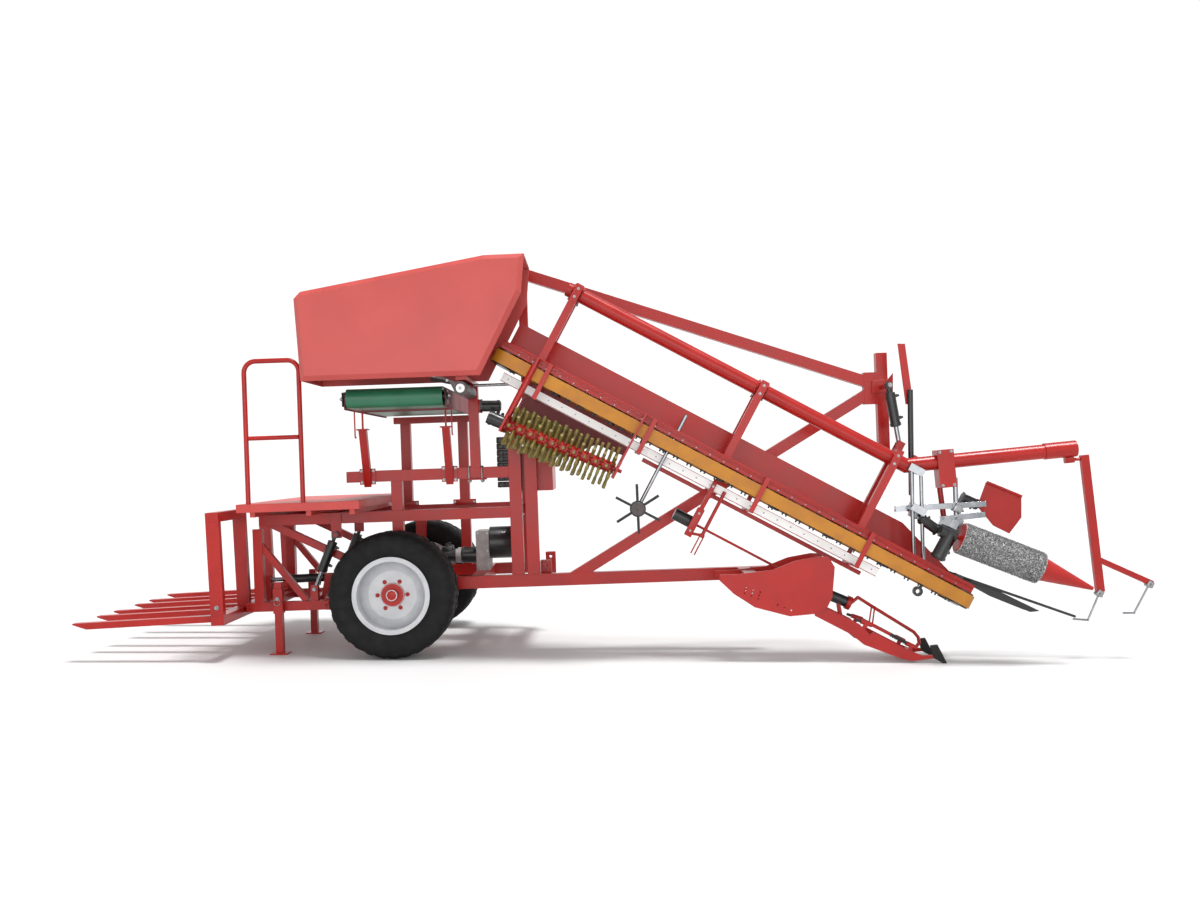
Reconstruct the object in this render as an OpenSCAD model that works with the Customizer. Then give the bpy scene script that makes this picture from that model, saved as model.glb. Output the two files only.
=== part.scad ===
/* [Stance] */
// Angle the chassis stands nose up when parked, degrees
pitch = 2; // [1:0.5:3]
// Axle position along the part from its middle
axle_x = -1769; // [-1800:1:-1700]
// Wheel mid-plane position across the part from its middle
axle_y = 175; // [150:1:200]
// Distance between the wheel mid-planes
track = 1800; // [1760:10:1900]
// Tyre radius out to the lug tips
tyre_r = 500; // [490:1:510]
// Tyre width over the sidewalls
tyre_w = 400; // [360:5:400]
// Rim radius over the bead flange
rim_r = 305; // [295:1:315]
// Depth of the bead seat under the flange
rim_flange = 25; // [18:1:30]
// Wheel stub shaft radius
stub_r = 40; // [30:1:45]
// Running clearance of a shaft in its bore
run_gap = 0.05; // [0.03:0.01:0.09]
// Seat gap between neighbouring pieces
seat = 0.3; // [0.2:0.05:0.4]
// Lap of joined solids and overrun of cuts
lap = 1; // [0.5:0.1:2]

/* [Main frame] */
// Half distance between the side frames
side_y = 600; // [590:1:605]
// Width of the frame tubes across the machine
beam_w = 80; // [70:1:84]
// Height of the lower side beams
beam_h = 100; // [90:1:110]
// Lower face of the lower side beams over the axle centre
beam_v0 = -10; // [-20:1:0]
// Front end of the long right side beam
beam_front_u = 3120; // [3100:5:3200]
// Square size of the axle beam
axle_sq = 100; // [90:2:110]
// Lower face of the deck rails
rail_v0 = 560; // [550:1:570]
// Lower face of the upper rails
top_rail_v0 = 890; // [880:1:900]
// Height of the rails
rail_h = 90; // [80:1:95]
// Rear end of the deck rails
rail_rear_u = -1136; // [-1150:1:-1120]
// Rear end of the upper rails
top_rail_rear_u = -406; // [-420:1:-390]
// Rear face of the mast columns
mast_rear_u = 921; // [915:1:930]
// Front face of the mast columns
mast_front_u = 1149; // [1140:1:1160]
// Depth of one mast column
post_d = 100; // [90:1:105]
// Top of the short mast column
mast_mid_v = 1250; // [1200:5:1300]
// Width of the frame posts
post_w = 90; // [80:1:95]
// Rear face of the hood post
hood_post_u = 610; // [600:1:620]
// Distance between the conveyor posts
rack_step = 527; // [500:1:540]
// Lower face of the conveyor bearer
rack_v0 = 1401; // [1390:1:1410]
// Height of the conveyor bearer
rack_h = 60; // [50:1:65]

/* [Lifting unit] */
// Height of the lifting unit's pivot over the axle centre
lift_piv_v = 1900; // [1880:1:1920]
// Radius of the lifting unit's pivot pin
lift_piv_r = 30; // [25:1:35]
// Plane of the crop row
row_y = -1050; // [-1060:1:-1045]
// Upper end of the belts along the chassis
belt_u = 875; // [870:1:880]
// Upper end of the belts over the axle centre
belt_v = 1859; // [1850:1:1870]
// Slope of the belts against the chassis, degrees
belt_angle = 29.6; // [29:0.1:30]
// Length of the belts from end to end
belt_len = 4167; // [4100:1:4200]
// Width of a belt
belt_w = 100; // [90:1:110]
// Half width of a belt loop
belt_r = 100; // [95:1:100]
// Half of the slot between the two belts
slot_half = 10; // [8:1:12]
// Belt thickness
belt_t = 12; // [8:1:14]
// Height of the belt frames
frame_h = 65; // [55:1:70]
// Boom height over the belts
boom_n = 720; // [700:1:730]
// Boom tube radius
boom_r = 57; // [50:1:60]
// Distance of the boom's bend behind the belts' front end
bend_back = 913; // [900:1:930]
// Length of the boom beyond its bend
boom_front = 1336; // [1300:1:1350]
// Rise of the boom beyond its bend against the belts, degrees
boom_rise = 33.4; // [32:0.1:35]
// Finger rotor tip radius
finger_tip_r = 172; // [150:1:175]
// Finger radius
finger_r = 12; // [10:0.5:13]
// Brush drum radius
drum_r = 130; // [120:1:140]

/* [Hood and deck] */
// Lower edge of the hood
hood_v0 = 1672; // [1665:1:1680]
// Outer face of the hood's right panel
hood_face_y = -1490; // [-1500:1:-1480]
// Depth of the folded hood edge
hood_fold = 40; // [30:1:45]
// Outer face of the hood's left panel
hood_far_y = -780; // [-785:1:-775]
// Sheet thickness
sheet = 6; // [4:0.5:8]
// Rear edge of the deck
deck_u0 = -1175; // [-1190:1:-1160]
// Front edge of the deck
deck_u1 = -215; // [-230:1:-200]
// Right edge of the deck
deck_y0 = -1100; // [-1110:1:-1090]
// Left edge of the deck
deck_y1 = 1090; // [1080:1:1100]
// Depth of the deck's folded edge
deck_h = 65; // [55:1:75]
// Height of the deck bearers
bearer_h = 40; // [35:1:45]
// Handrail height over the deck
hand_h = 1115; // [1080:5:1150]
// Handrail tube radius
hand_r = 19; // [16:1:21]

/* [Rear fork] */
// Centre plane of the fork unit
fork_y = -195; // [-200:1:-190]
// Half distance between the lift arms
arm_half = 495; // [490:1:498]
// Lift arm tube width
arm_w = 70; // [60:1:74]
// Lift arm tube height
arm_h = 74; // [66:1:80]
// Lift arm pivot along the chassis
arm_piv_u = -570; // [-580:1:-565]
// Lift arm and fork pivot height
arm_piv_v = -92; // [-95:1:-88]
// Fork pivot along the chassis
fork_u = -1200; // [-1210:1:-1195]
// Extra backward lean of the fork, degrees
fork_lean = 1.3; // [1:0.1:1.6]
// Fork pin radius
fork_pin_r = 20; // [16:1:22]
// Height of the outer fork posts
fork_h = 800; // [780:5:820]
// Half distance between the outer fork posts
fork_half = 1055; // [1040:5:1060]
// Tine length
tine_len = 1075; // [1050:5:1100]
// Tine height at its root
tine_h = 50; // [44:1:54]
// Tine width
tine_w = 76; // [70:1:80]

/* [Hidden] */
$fn = 48;

red = [0.72, 0.11, 0.10];
black = [0.06, 0.06, 0.06];
steel = [0.75, 0.76, 0.78];
mustard = [0.78, 0.52, 0.15];
green = [0.16, 0.34, 0.24];
pale = [0.80, 0.81, 0.83];
olive = [0.52, 0.48, 0.24];
grey = [0.50, 0.51, 0.52];

// Faces of the frame members
half = 0.5;
side_in = side_y - beam_w * half;
side_out = side_y + beam_w * half;
beam_v1 = beam_v0 + beam_h;
axle_half = axle_sq * half;
rail_v1 = rail_v0 + rail_h;
top_rail_v1 = top_rail_v0 + rail_h;
rack_v1 = rack_v0 + rack_h;
post_half = post_w * half;
wheel_y = track * half;
boom_bend_s = belt_len - bend_back;
hang_shares = [0.0845, 0.4735];
hang_back = 1021;
hang_ss = [hang_shares[0] * belt_len, hang_shares[1] * belt_len, belt_len - hang_back];

// Places a piece in the parked chassis frame, whose zero is the axle centre
module at_axle() {
  translate([axle_x, axle_y, tyre_r])
    rotate([0, -pitch, 0])
      children();
}

// Places a piece along the lifting belts, x down the belts and z square to them
module at_belt() {
  at_axle()
    translate([belt_u, row_y, belt_v])
      rotate([0, belt_angle, 0])
        children();
}

// Places a piece on the fork's pivot
module at_fork() {
  at_axle()
    translate([fork_u, fork_y, arm_piv_v])
      rotate([0, -fork_lean, 0])
        children();
}

// Points of an outline given as shares of its width and height
function outline(shares, u, v, w, h) = [for (p = shares) [u + p[0] * w, v + p[1] * h]];

// Block between two corners
module bar(u0, u1, y0, y1, v0, v1) {
  translate([u0, y0, v0])
    cube([u1 - u0, y1 - y0, v1 - v0]);
}

// Block centred on a plane across the machine
module sbar(u0, u1, y, w, v0, v1) {
  bar(u0, u1, y - w * half, y + w * half, v0, v1);
}

// Side outline given in the upright plane, with its thickness across the machine
module plate(pts, y0, y1) {
  translate([0, y1, 0])
    rotate([90, 0, 0])
      linear_extrude(height = y1 - y0)
        polygon(pts);
}

// Cross outline given in the plane of y and v, with its thickness along the machine
module yplate(pts, u0, u1) {
  translate([u0, 0, 0])
    rotate([90, 0, 90])
      linear_extrude(height = u1 - u0)
        polygon(pts);
}

// Round pin across the machine
module pin_y(u, v, y0, y1, r) {
  translate([u, y1, v])
    rotate([90, 0, 0])
      cylinder(h = y1 - y0, r = r);
}

// Round bar between two points
module rod(p, q, r, r2 = undef) {
  d = q - p;
  translate(p)
    rotate([0, acos(d[2] / norm(d)), atan2(d[1], d[0])])
      cylinder(h = norm(d), r1 = r, r2 = r2 == undef ? r : r2);
}

// Round bar between two points of an upright plane
module link(pts, y, r) {
  rod([pts[0][0], y, pts[0][1]], [pts[1][0], y, pts[1][1]], r);
}

// Flat bar between two points of the upright plane
module flat(p, q, y0, y1, h) {
  translate([p[0], y0, p[1]])
    rotate([0, -atan2(q[1] - p[1], q[0] - p[0]), 0])
      translate([0, 0, -h * half])
        cube([norm(q - p), y1 - y0, h]);
}

// Rear conveyor post and overhang of the conveyor bearer
rack_u = -112;
rack_over = 60;
// Lower beams, deck rails, upper rails and the conveyor bearer
module side_beams() {
  color(red) at_axle() {
    sbar(axle_half + seat, beam_front_u, -side_y, beam_w, beam_v0, beam_v1);
    sbar(axle_half + seat, mast_front_u, side_y, beam_w, beam_v0, beam_v1);
    for (side = [-1, 1]) {
      sbar(rail_rear_u, mast_rear_u - seat, side * side_y, beam_w, rail_v0, rail_v1);
      sbar(top_rail_rear_u, mast_rear_u - seat, side * side_y, beam_w, top_rail_v0, top_rail_v1);
    }
    over = post_half + rack_over;
    sbar(rack_u - over, rack_u + rack_step + over, side_y, beam_w, rack_v0, rack_v1);
  }
}

// Cross members of the frame
cross_w = 80;
pump_cross_u = 580;
hood_bar_h = 30;
hood_bar_v0 = hood_v0 - hood_bar_h;
cross_clear = 10;
hood_bar_end = hood_face_y + hood_fold + 2 * sheet + cross_clear;
top_bar_v = 2330;
top_bar_w = 60;
cross_in = side_in - seat;
module cross_members() {
  color(red) at_axle() {
    bar(mast_front_u - post_d, mast_front_u, -cross_in, cross_in, beam_v0, beam_v1);
    bar(pump_cross_u, pump_cross_u + post_d, -cross_in, cross_in, beam_v0, beam_v1);
    for (v = [rail_v0, top_rail_v0])
      bar(mast_rear_u, mast_rear_u + cross_w, -cross_in, cross_in, v, v + rail_h);
    bar(rail_rear_u, rail_rear_u + cross_w, -cross_in, cross_in, rail_v0, rail_v1);
    bar(lift_top_u - cross_w * half, lift_top_u + cross_w * half, -cross_in, cross_in, rail_v0, rail_v1);
    bar(top_rail_rear_u, top_rail_rear_u + cross_w, -cross_in, cross_in, top_rail_v0, top_rail_v1);
    bar(hood_post_u, hood_post_u + cross_w, hood_bar_end, -side_in, hood_bar_v0 + seat, hood_v0 - seat);
    translate([mast_front_u - post_d, 0, top_bar_v])
      bar(0, top_bar_w, hood_far_y + seat, -side_out - seat, 0, top_bar_w);
  }
}

// Upright posts and the pin that carries the lifting unit
mast_top_v = 2595;
mast_step_v = 2010;
mast_slim = 29;
mast_slim_u = mast_front_u - mast_slim;
piv_u = mast_front_u - post_d * half;
guard_y = 235;
piv_end = row_y + guard_y;
module uprights() {
  color(red) at_axle() {
    sbar(mast_rear_u, mast_rear_u + post_d, -side_y, beam_w, beam_v1 + seat, mast_mid_v);
    sbar(mast_front_u - post_d, mast_front_u, -side_y, beam_w, beam_v1 + seat, mast_step_v);
    sbar(mast_front_u - post_d, mast_slim_u, -side_y, beam_w, mast_step_v + seat, mast_top_v);
    pin_y(piv_u, lift_piv_v, piv_end, -side_out - seat, lift_piv_r);
    sbar(mast_rear_u, mast_rear_u + post_d, side_y, beam_w, beam_v1 + seat, top_rail_v1);
    for (side = [-1, 1])
      sbar(-post_half, post_half, side * side_y, beam_w, axle_half + seat, rail_v0 - seat);
    sbar(-post_half, post_half, -side_y, beam_w, rail_v1 + seat, top_rail_v0 - seat);
    sbar(hood_post_u, hood_post_u + cross_w, -side_y, beam_w, top_rail_v1 + seat, hood_bar_v0);
    for (u = [rack_u, rack_u + rack_step]) {
      sbar(u - post_half, u + post_half, side_y, beam_w, rail_v1 + seat, top_rail_v0 - seat);
      sbar(u - post_half, u + post_half, side_y, beam_w, top_rail_v1 + seat, rack_v0 - seat);
    }
    translate([rack_u + rack_step, side_y, 0])
      sbar(-post_half, post_half, 0, beam_w, beam_v1 + seat, rail_v0 - seat);
  }
}

// Slanted braces behind the axle and the props that hold the conveyor's outer end
brace_u = -1080;
brace_v = 40;
brace_w = 60;
brace_in = 60;
brace_tan = (rail_v0 - brace_v) / (-axle_half - brace_u);
prop_w = 60;
prop_u = -230;
prop_step = 670;
prop_us = [prop_u, prop_u + prop_step];
prop_plate = 130;
prop_plate_t = 10;
prop_y = -780;
prop_v = 1310;
prop_v0 = top_rail_v0 + rail_h * half;
prop_tan = (prop_v - prop_v0) / (-prop_y - side_out);
prop_up = prop_w * half / cos(atan(prop_tan));
prop_cap = 90;
prop_cap_h = 12;
hang_r = 8;
brk_half = 42;
far_brk_y = fork_y + arm_half - brk_half;
module braces() {
  dx = brace_w / sin(atan(brace_tan));
  root = -side_out - seat - prop_plate_t;
  color(red) at_axle() {
    for (side = [-1, 1])
      plate([[brace_u, rail_v0 - seat], [brace_u + dx, rail_v0 - seat],
             [-axle_half - seat, brace_v + dx * brace_tan], [-axle_half - seat, brace_v]],
            side * side_y - brace_in * half, side * side_y + brace_in * half);
    near_y = -side_out - seat;
    pin_half = arm_half + lift_eye_w * half + lap;
    translate([lift_top_u, 0, 0]) {
      bar(-brk_half, brk_half, near_y - lug_t, near_y, lift_top_v - lift_eye_r, rail_v1);
      pin_y(0, lift_top_v, fork_y - pin_half, near_y - lap, lift_pin_r);
      bar(-brk_half, brk_half, far_brk_y - lug_t, far_brk_y, lift_top_v - lift_eye_r, rail_v0 - seat);
      pin_y(0, lift_top_v, far_brk_y - lap, fork_y + pin_half, lift_pin_r);
    }
    for (u = prop_us)
      translate([u, 0, 0]) {
        p = prop_plate * half;
        c = prop_cap * half;
        bar(-p, p, root, -side_out - seat, prop_v0 - p, prop_v0 + p);
        yplate([[root, prop_v0 - prop_up], [root, prop_v0 + prop_up],
                [prop_y + prop_up / prop_tan, prop_v], [prop_y - prop_up / prop_tan, prop_v]],
               -prop_w * half, prop_w * half);
        bar(-c, c, prop_y - c, prop_y + c, prop_v, prop_v + prop_cap_h);
        rod([0, prop_y, prop_v + prop_cap_h * half], [0, prop_y, pan_v0 - seat], hang_r);
      }
  }
}

// Axle with its stub shafts and the plates that carry the lift arms
axle_end = 690;
stub_tip = 50;
trail_t = 20;
trail_h = 95;
trail_over = 40;
arm_in = arm_half - arm_w * half - seat;
module axle() {
  color(red) at_axle() {
    bar(-axle_half, axle_half, -axle_end, axle_end, -axle_half, axle_half);
    for (side = [-1, 1]) {
      pin_y(0, 0, side > 0 ? 0 : -wheel_y - stub_tip, side > 0 ? wheel_y + stub_tip : 0, stub_r);
      translate([0, fork_y + side * (arm_in - trail_t * half), 0]) {
        translate([0, 0, arm_piv_v - trail_h * half])
          sbar(arm_piv_u - trail_over, -axle_half - seat, 0, trail_t, 0, trail_h);
        pin_y(arm_piv_u, arm_piv_v, side > 0 ? 0 : -arm_w - seat, side > 0 ? arm_w + seat : 0, fork_pin_r);
      }
    }
  }
}

// Three-point headstock ears
ear_t = 16;
ear_gap = 52;
ear_mid = (ear_gap + ear_t) * half;
ear_reach = 88;
ear_v1 = 188;
link_y = 435;
link_out = 44;
link_u = mast_front_u + link_out;
link_v = 146;
link_r = 14.25;
top_link_r = 12.75;
top_ear_over = 40;
top_link_in = 78;
top_link_u = mast_front_u - top_link_in;
hitch_h = 510;
top_link_v = link_v + hitch_h;
top_ear_v1 = top_link_v + top_ear_over;
module headstock() {
  color(red) at_axle() {
    for (y = [-link_y, link_y], side = [-1, 1])
      difference() {
        sbar(mast_front_u + seat, mast_front_u + ear_reach, y + side * ear_mid, ear_t, 0, ear_v1);
        pin_y(link_u, link_v, y - ear_reach, y + ear_reach, link_r);
      }
    for (side = [-1, 1])
      difference() {
        translate([0, side * ear_mid, 0])
          sbar(mast_rear_u + cross_w + seat, top_link_u + top_ear_over, 0, ear_t, rail_v0, top_ear_v1);
        pin_y(top_link_u, top_link_v, -ear_reach, ear_reach, top_link_r);
      }
  }
}

// Drive gearbox with its shaft guard and the pumps
box_u1 = 690;
box_w = 320;
box_v1 = 430;
shaft_v = 320;
shaft_r = 17.5;
shaft_end = 960;
cup_r = 135;
cup_t = 8;
cup_u1 = 900;
pump_r = 62;
pump_u0 = 400;
pump_y = 80;
pump_v = 220;
bank_u0 = 765;
bank_w = 120;
bank_y = 110;
bank_v1 = 1240;
module pump_set() {
  color(grey) at_axle() {
    bar(pump_cross_u, box_u1, -box_w * half, box_w * half, beam_v1 + seat, box_v1);
    difference() {
      rod([box_u1 + seat, 0, shaft_v], [cup_u1, 0, shaft_v], cup_r);
      rod([box_u1 + cup_t, 0, shaft_v], [cup_u1 + cup_t, 0, shaft_v], cup_r - cup_t);
    }
    rod([box_u1 + cup_t - seat, 0, shaft_v], [shaft_end, 0, shaft_v], shaft_r);
    for (side = [-1, 1])
      rod([pump_u0, side * pump_y, pump_v], [pump_cross_u - seat, side * pump_y, pump_v], pump_r);
    bar(bank_u0, mast_rear_u - seat, bank_y, bank_y + bank_w, top_rail_v0, bank_v1);
  }
}

// Oil tank in front of the mast
tank_u1 = 1275;
tank_y0 = -530;
tank_y1 = 120;
tank_v0 = 770;
tank_v1 = 1140;
module oil_tank() {
  color(red) at_axle()
    bar(mast_rear_u + cross_w + seat, tank_u1, tank_y0, tank_y1, tank_v0, tank_v1);
}

// Top strut and diagonal strut that carry the front mast, with the arm of the share drive's motor
strut_h = 90;
strut_down = 54;
strut_v0 = mast_top_v - strut_down;
apex_u = 3850;
strut_v1 = 1578;
diag_v1 = 1452;
diag_u0 = 1484;
strut_drop = strut_h * half / cos(atan((strut_v0 - strut_v1) / (apex_u - mast_slim_u)));
diag_tan = (diag_v1 - beam_v1) / (apex_u - diag_u0);
diag_rise = strut_h * half / cos(atan(diag_tan));
module struts() {
  color(red) at_axle() {
    plate([[mast_slim_u + seat, strut_v0 - strut_drop], [apex_u, strut_v1 - strut_drop],
           [apex_u, strut_v1 + strut_drop], [mast_slim_u + seat, strut_v0 + strut_drop]],
          -side_out, -side_in);
    plate([[diag_u0 + diag_rise / diag_tan, beam_v1 + seat], [apex_u, diag_v1 - diag_rise],
           [apex_u, diag_v1 + diag_rise], [diag_u0 - diag_rise / diag_tan, beam_v1 + seat]],
          -side_out, -side_in);
    w = drive_arm_w * half;
    translate([drive_u, 0, drive_v])
      bar(-w, w, drive_y + drive_r + seat, -side_out - seat, -w, w);
  }
}

// Front mast with its bracket and the pin of the lifting cylinder
apex_tube_u = 3955;
apex_tube_w = 90;
apex_v0 = 1005;
apex_v1 = 1802;
apex_brk_v0 = 1385;
apex_brk_v1 = 1645;
cyl_u = 3990;
cyl_v = 1520;
cyl_y = -880;
cyl_pin_r = 18;
cyl_eye_w = 50;
apex_plate_t = 12;
apex_plate_u = 3910;
apex_plate_v = 1475;
apex_plate_w = 177;
apex_plate_h = 157;
apex_plate_shares = [[0, 0], [0.017, 0.624], [0.763, 0.694], [1, 1], [0.972, 0.013]];
apex_plate_pts = outline(apex_plate_shares, apex_plate_u, apex_plate_v, apex_plate_w, apex_plate_h);
module apex_mast() {
  color(red) at_axle() {
    bar(apex_tube_u, apex_tube_u + apex_tube_w, -side_out, -side_in, apex_v0, apex_v1);
    bar(apex_u + seat, apex_tube_u - seat, -side_out, -side_in, apex_brk_v0, apex_brk_v1);
    pin_y(cyl_u, cyl_v, cyl_y - cyl_eye_w, -side_out - seat, cyl_pin_r);
    difference() {
      plate(apex_plate_pts, -side_out - seat - apex_plate_t, -side_out - seat);
      pin_y(cyl_u, cyl_v, -side_out - 2 * apex_plate_t, -side_in, cyl_pin_r + seat);
    }
  }
}

// Cross tube and side plates that carry the two lifting shares
share_y = -1220;
share_gap = 340;
share_ys = [share_y, share_y + share_gap];
share_t = 14;
tube_u0 = 2760;
tube_h = 100;
carry_u = 2559;
carry_v = -246;
carry_w = 886;
carry_h = 451;
carry_shares = [[0, 0.749], [0, 0.645], [0.117, 0.415], [0.296, 0.173], [0.596, 0], [0.814, 0.027],
  [0.923, 0.131], [0.97, 0.297], [1, 0.812], [0.949, 0.989], [0.859, 1], [0.656, 0.94],
  [0.458, 0.8], [0.159, 0.749]];
carry_pts = outline(carry_shares, carry_u, carry_v, carry_w, carry_h);
hole_r = 7;
hole_n = 3;
hole_share = [0.229, 0.528];
row_hole_share = [0.495, 0.202];
hole_out_share = [0.058, -0.049];
hole_down_share = [-0.009, -0.055];
hole_shares = [for (i = [0 : hole_n - 1], k = [0 : hole_n])
  (k == hole_n ? row_hole_share : hole_share + k * hole_down_share) + i * hole_out_share];
carry_holes = outline(hole_shares, carry_u, carry_v, carry_w, carry_h);
module share_carrier() {
  color(red) at_axle() {
    bar(tube_u0, tube_u0 + tube_h, share_ys[0] + share_t + seat, share_ys[1] - seat, beam_v0, beam_v1);
    bar(tube_u0, tube_u0 + tube_h, share_ys[1] + share_t + seat, -side_out - seat, beam_v0, beam_v1);
    for (y = share_ys)
      difference() {
        plate(carry_pts, y, y + share_t);
        for (p = carry_holes)
          pin_y(p[0], p[1], y - share_t, y + 2 * share_t, hole_r);
      }
  }
}

// Share arms, with their wear tips standing on the ground
share_u = 3270;
share_v = -628;
share_w = 928;
share_h = 528;
share_shares = [[0.065, 1], [0.106, 0.826], [0.379, 0.572], [0.432, 0.475], [0.467, 0.409],
  [0.496, 0.447], [0.777, 0.169], [0.892, 0.083], [0.9795, 0.085], [0.987, 0.036], [0.809, 0.008],
  [0.728, 0.038], [0.409, 0.271], [0.314, 0.419], [0.013, 0.714], [0, 0.905]];
share_pts = outline(share_shares, share_u, share_v, share_w, share_h);
tip_u = 4161;
tip_v = -670;
tip_w = 132;
tip_h = 165;
tip_shares = [[0, 0.97], [0.409, 1], [1, 0], [0.197, 0.364]];
tip_pts = outline(tip_shares, tip_u, tip_v, tip_w, tip_h);
tip_over = 8;
module share_tips() {
  color(black) intersection() {
    at_axle()
      for (y = share_ys)
        plate(tip_pts, y + share_t + seat - tip_over, y + 2 * share_t + tip_over);
    translate([0, -track * 2, 0])
      cube([track * 2, track * 4, track * 2]);
  }
}

// Share drive in the middle between the arms, from the upper motor by a push rod to the shaker
drive_y = -1050;
drive_u = 2310;
drive_v = 526;
drive_motor = [drive_u, drive_v];
drive_r = 48;
drive_len = 170;
drive_rod_r = 10;
drive_arm_w = 60;
push_u = 3420;
push_v = -108;
drive_end = [push_u, push_v];
drive_dir = (drive_end - drive_motor) / norm(drive_end - drive_motor);
shaker_r = 42;
shaker_len = 150;
shaker_drop = 24.6;
shaker_dir = [cos(shaker_drop), -sin(shaker_drop)];
shaker_end = drive_end + shaker_dir * (shaker_len + seat);
flange_r = 54;
flange_w = 36;
flange_end = shaker_end + shaker_dir * (flange_w + seat);

// Loop that hands the shaking on to a cross tube between the arms
tie_r = 24;
tie_shares = [[0.262, 0.557], [0.841, 0.066]];
tie_pts = outline(tie_shares, share_u, share_v, share_w, share_h);
loop_r = 13;
loop_shares = [[0.41, 0.926], [0.528, 0.784], [0.871, 0.384], [0.907, 0.303], [0.913, 0.223]];
loop_pts = outline(loop_shares, share_u, share_v, share_w, share_h);

// Spring rod over each arm, with a lug at either end
spring_r = 18;
spring_rod_r = 11;
knob_len = 40;
spring_shares = [[0.399, 0.602], [0.491, 0.542], [0.637, 0.398], [0.769, 0.263], [0.849, 0.188]];
spring_pts = outline(spring_shares, share_u, share_v, share_w, share_h);
spring_lug_shares = [[0.405, 0.478], [0.787, 0.133]];
spring_lugs = outline(spring_lug_shares, share_u, share_v, share_w, share_h);
spring_lug_w = 32;
module share_arms() {
  color(red) at_axle() {
    for (y = share_ys)
      plate(share_pts, y + share_t + seat, y + 2 * share_t);
    for (p = tie_pts)
      pin_y(p[0], p[1], share_ys[0] + 2 * share_t + seat, share_ys[1] + share_t, tie_r);
    link([drive_motor + drive_dir * (drive_len * half + seat), drive_end], drive_y, drive_rod_r);
    link([shaker_end + shaker_dir * seat, flange_end], drive_y, flange_r);
    shaker_post();
    shaker_loop();
    for (y = share_ys)
      spring_ends(y + 2 * share_t + seat);
  }
}
module shaker_post() {
  p = tie_pts[0] + [0, tie_r + seat];
  q = shaker_end - shaker_dir * shaker_len * half;
  difference() {
    flat(p, q, drive_y - tie_r, drive_y + tie_r, 2 * loop_r);
    link([drive_end, shaker_end], drive_y, shaker_r + seat);
  }
}
module shaker_loop() {
  e = loop_pts[len(loop_pts) - 1];
  d = (tie_pts[1] - e) / norm(tie_pts[1] - e);
  way = concat([flange_end + shaker_dir * seat], loop_pts, [tie_pts[1] - d * (tie_r + seat)]);
  for (i = [0 : len(way) - 2]) {
    link([way[i], way[i + 1]], drive_y, loop_r);
    if (i > 0)
      translate([way[i][0], drive_y, way[i][1]])
        sphere(r = loop_r);
  }
}
module spring_ends(y) {
  for (i = [0, 1]) {
    link([spring_pts[i * 3], spring_pts[i * 3 + 1]], y + spring_r, spring_r);
    flat(spring_lugs[i], (spring_pts[i * 3] + spring_pts[i * 3 + 1]) * half, y, y + sheet, spring_lug_w);
  }
  link([spring_pts[1], spring_pts[2]], y + spring_r, spring_rod_r);
}
module share_drive() {
  m = drive_dir * drive_len * half;
  color(black) at_axle() {
    link([drive_motor - m, drive_motor + m], drive_y, drive_r);
    link([drive_end + shaker_dir * lap, shaker_end], drive_y, shaker_r);
    for (y = share_ys)
      spring_rods(y + 2 * share_t + seat + spring_r);
  }
}
module spring_rods(y) {
  d = heading(spring_pts[0], spring_pts[1]);
  e = heading(spring_pts[2], spring_pts[3]);
  link([spring_pts[0] - d * knob_len, spring_pts[0] - d * seat], y, spring_rod_r);
  link([spring_pts[2] + e * seat, spring_pts[3] - e * seat * 2], y, spring_rod_r);
}

// Hood outline seen from the side
hood_u = -579;
hood_w = 1734;
hood_h = 898;
hood_shares = [[0, 0.687], [0.029, 0.744], [0.826, 0.997], [1, 1], [0.982, 0.679], [0.793, 0],
  [0.018, 0]];
hood_pts = outline(hood_shares, hood_u, hood_v0, hood_w, hood_h);
hood_inset = 36;
module hood_near() {
  color(red) at_axle()
    difference() {
      hull() {
        plate(hood_pts, hood_face_y + hood_fold - sheet, hood_face_y + hood_fold);
        hood_inner(hood_inset, hood_face_y, hood_face_y + sheet);
      }
      hull() {
        hood_inner(sheet, hood_face_y + hood_fold - seat, hood_face_y + hood_fold + seat);
        hood_inner(hood_inset + sheet, hood_face_y + sheet, hood_face_y + 2 * sheet);
      }
    }
}
module hood_inner(inset, y0, y1) {
  translate([0, y1, 0])
    rotate([90, 0, 0])
      linear_extrude(height = y1 - y0)
        offset(delta = -inset)
          polygon(hood_pts);
}
module hood_far() {
  color(red) at_axle()
    plate(hood_pts, hood_far_y - sheet, hood_far_y);
}
// Rear sheet and three roof sheets of the hood, mitred where they meet
roof_n = 4;
function heading(a, b) = (b - a) / norm(b - a);
function turn(i) = acos(heading(roof_at(i), roof_at(i + 1)) * heading(roof_at(i + 1), roof_at(i + 2)));
function mitre(i) = i < 0 || i > roof_n - 2 ? 0 : sheet * tan(turn(i) * half);
function roof_at(i) = i == 0 ? hood_pts[len(hood_pts) - 1] : hood_pts[i - 1];
module hood_roof() {
  color(red) at_axle()
    for (i = [0 : roof_n - 1]) {
      d = heading(roof_at(i), roof_at(i + 1));
      n = [d[1], -d[0]];
      a = roof_at(i) + d * seat * half;
      b = roof_at(i + 1) - d * seat * half;
      plate([a, b, b + n * sheet - d * mitre(i), a + n * sheet + d * mitre(i - 1)],
            hood_face_y + hood_fold + seat, hood_far_y - sheet - seat);
    }
}
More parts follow.
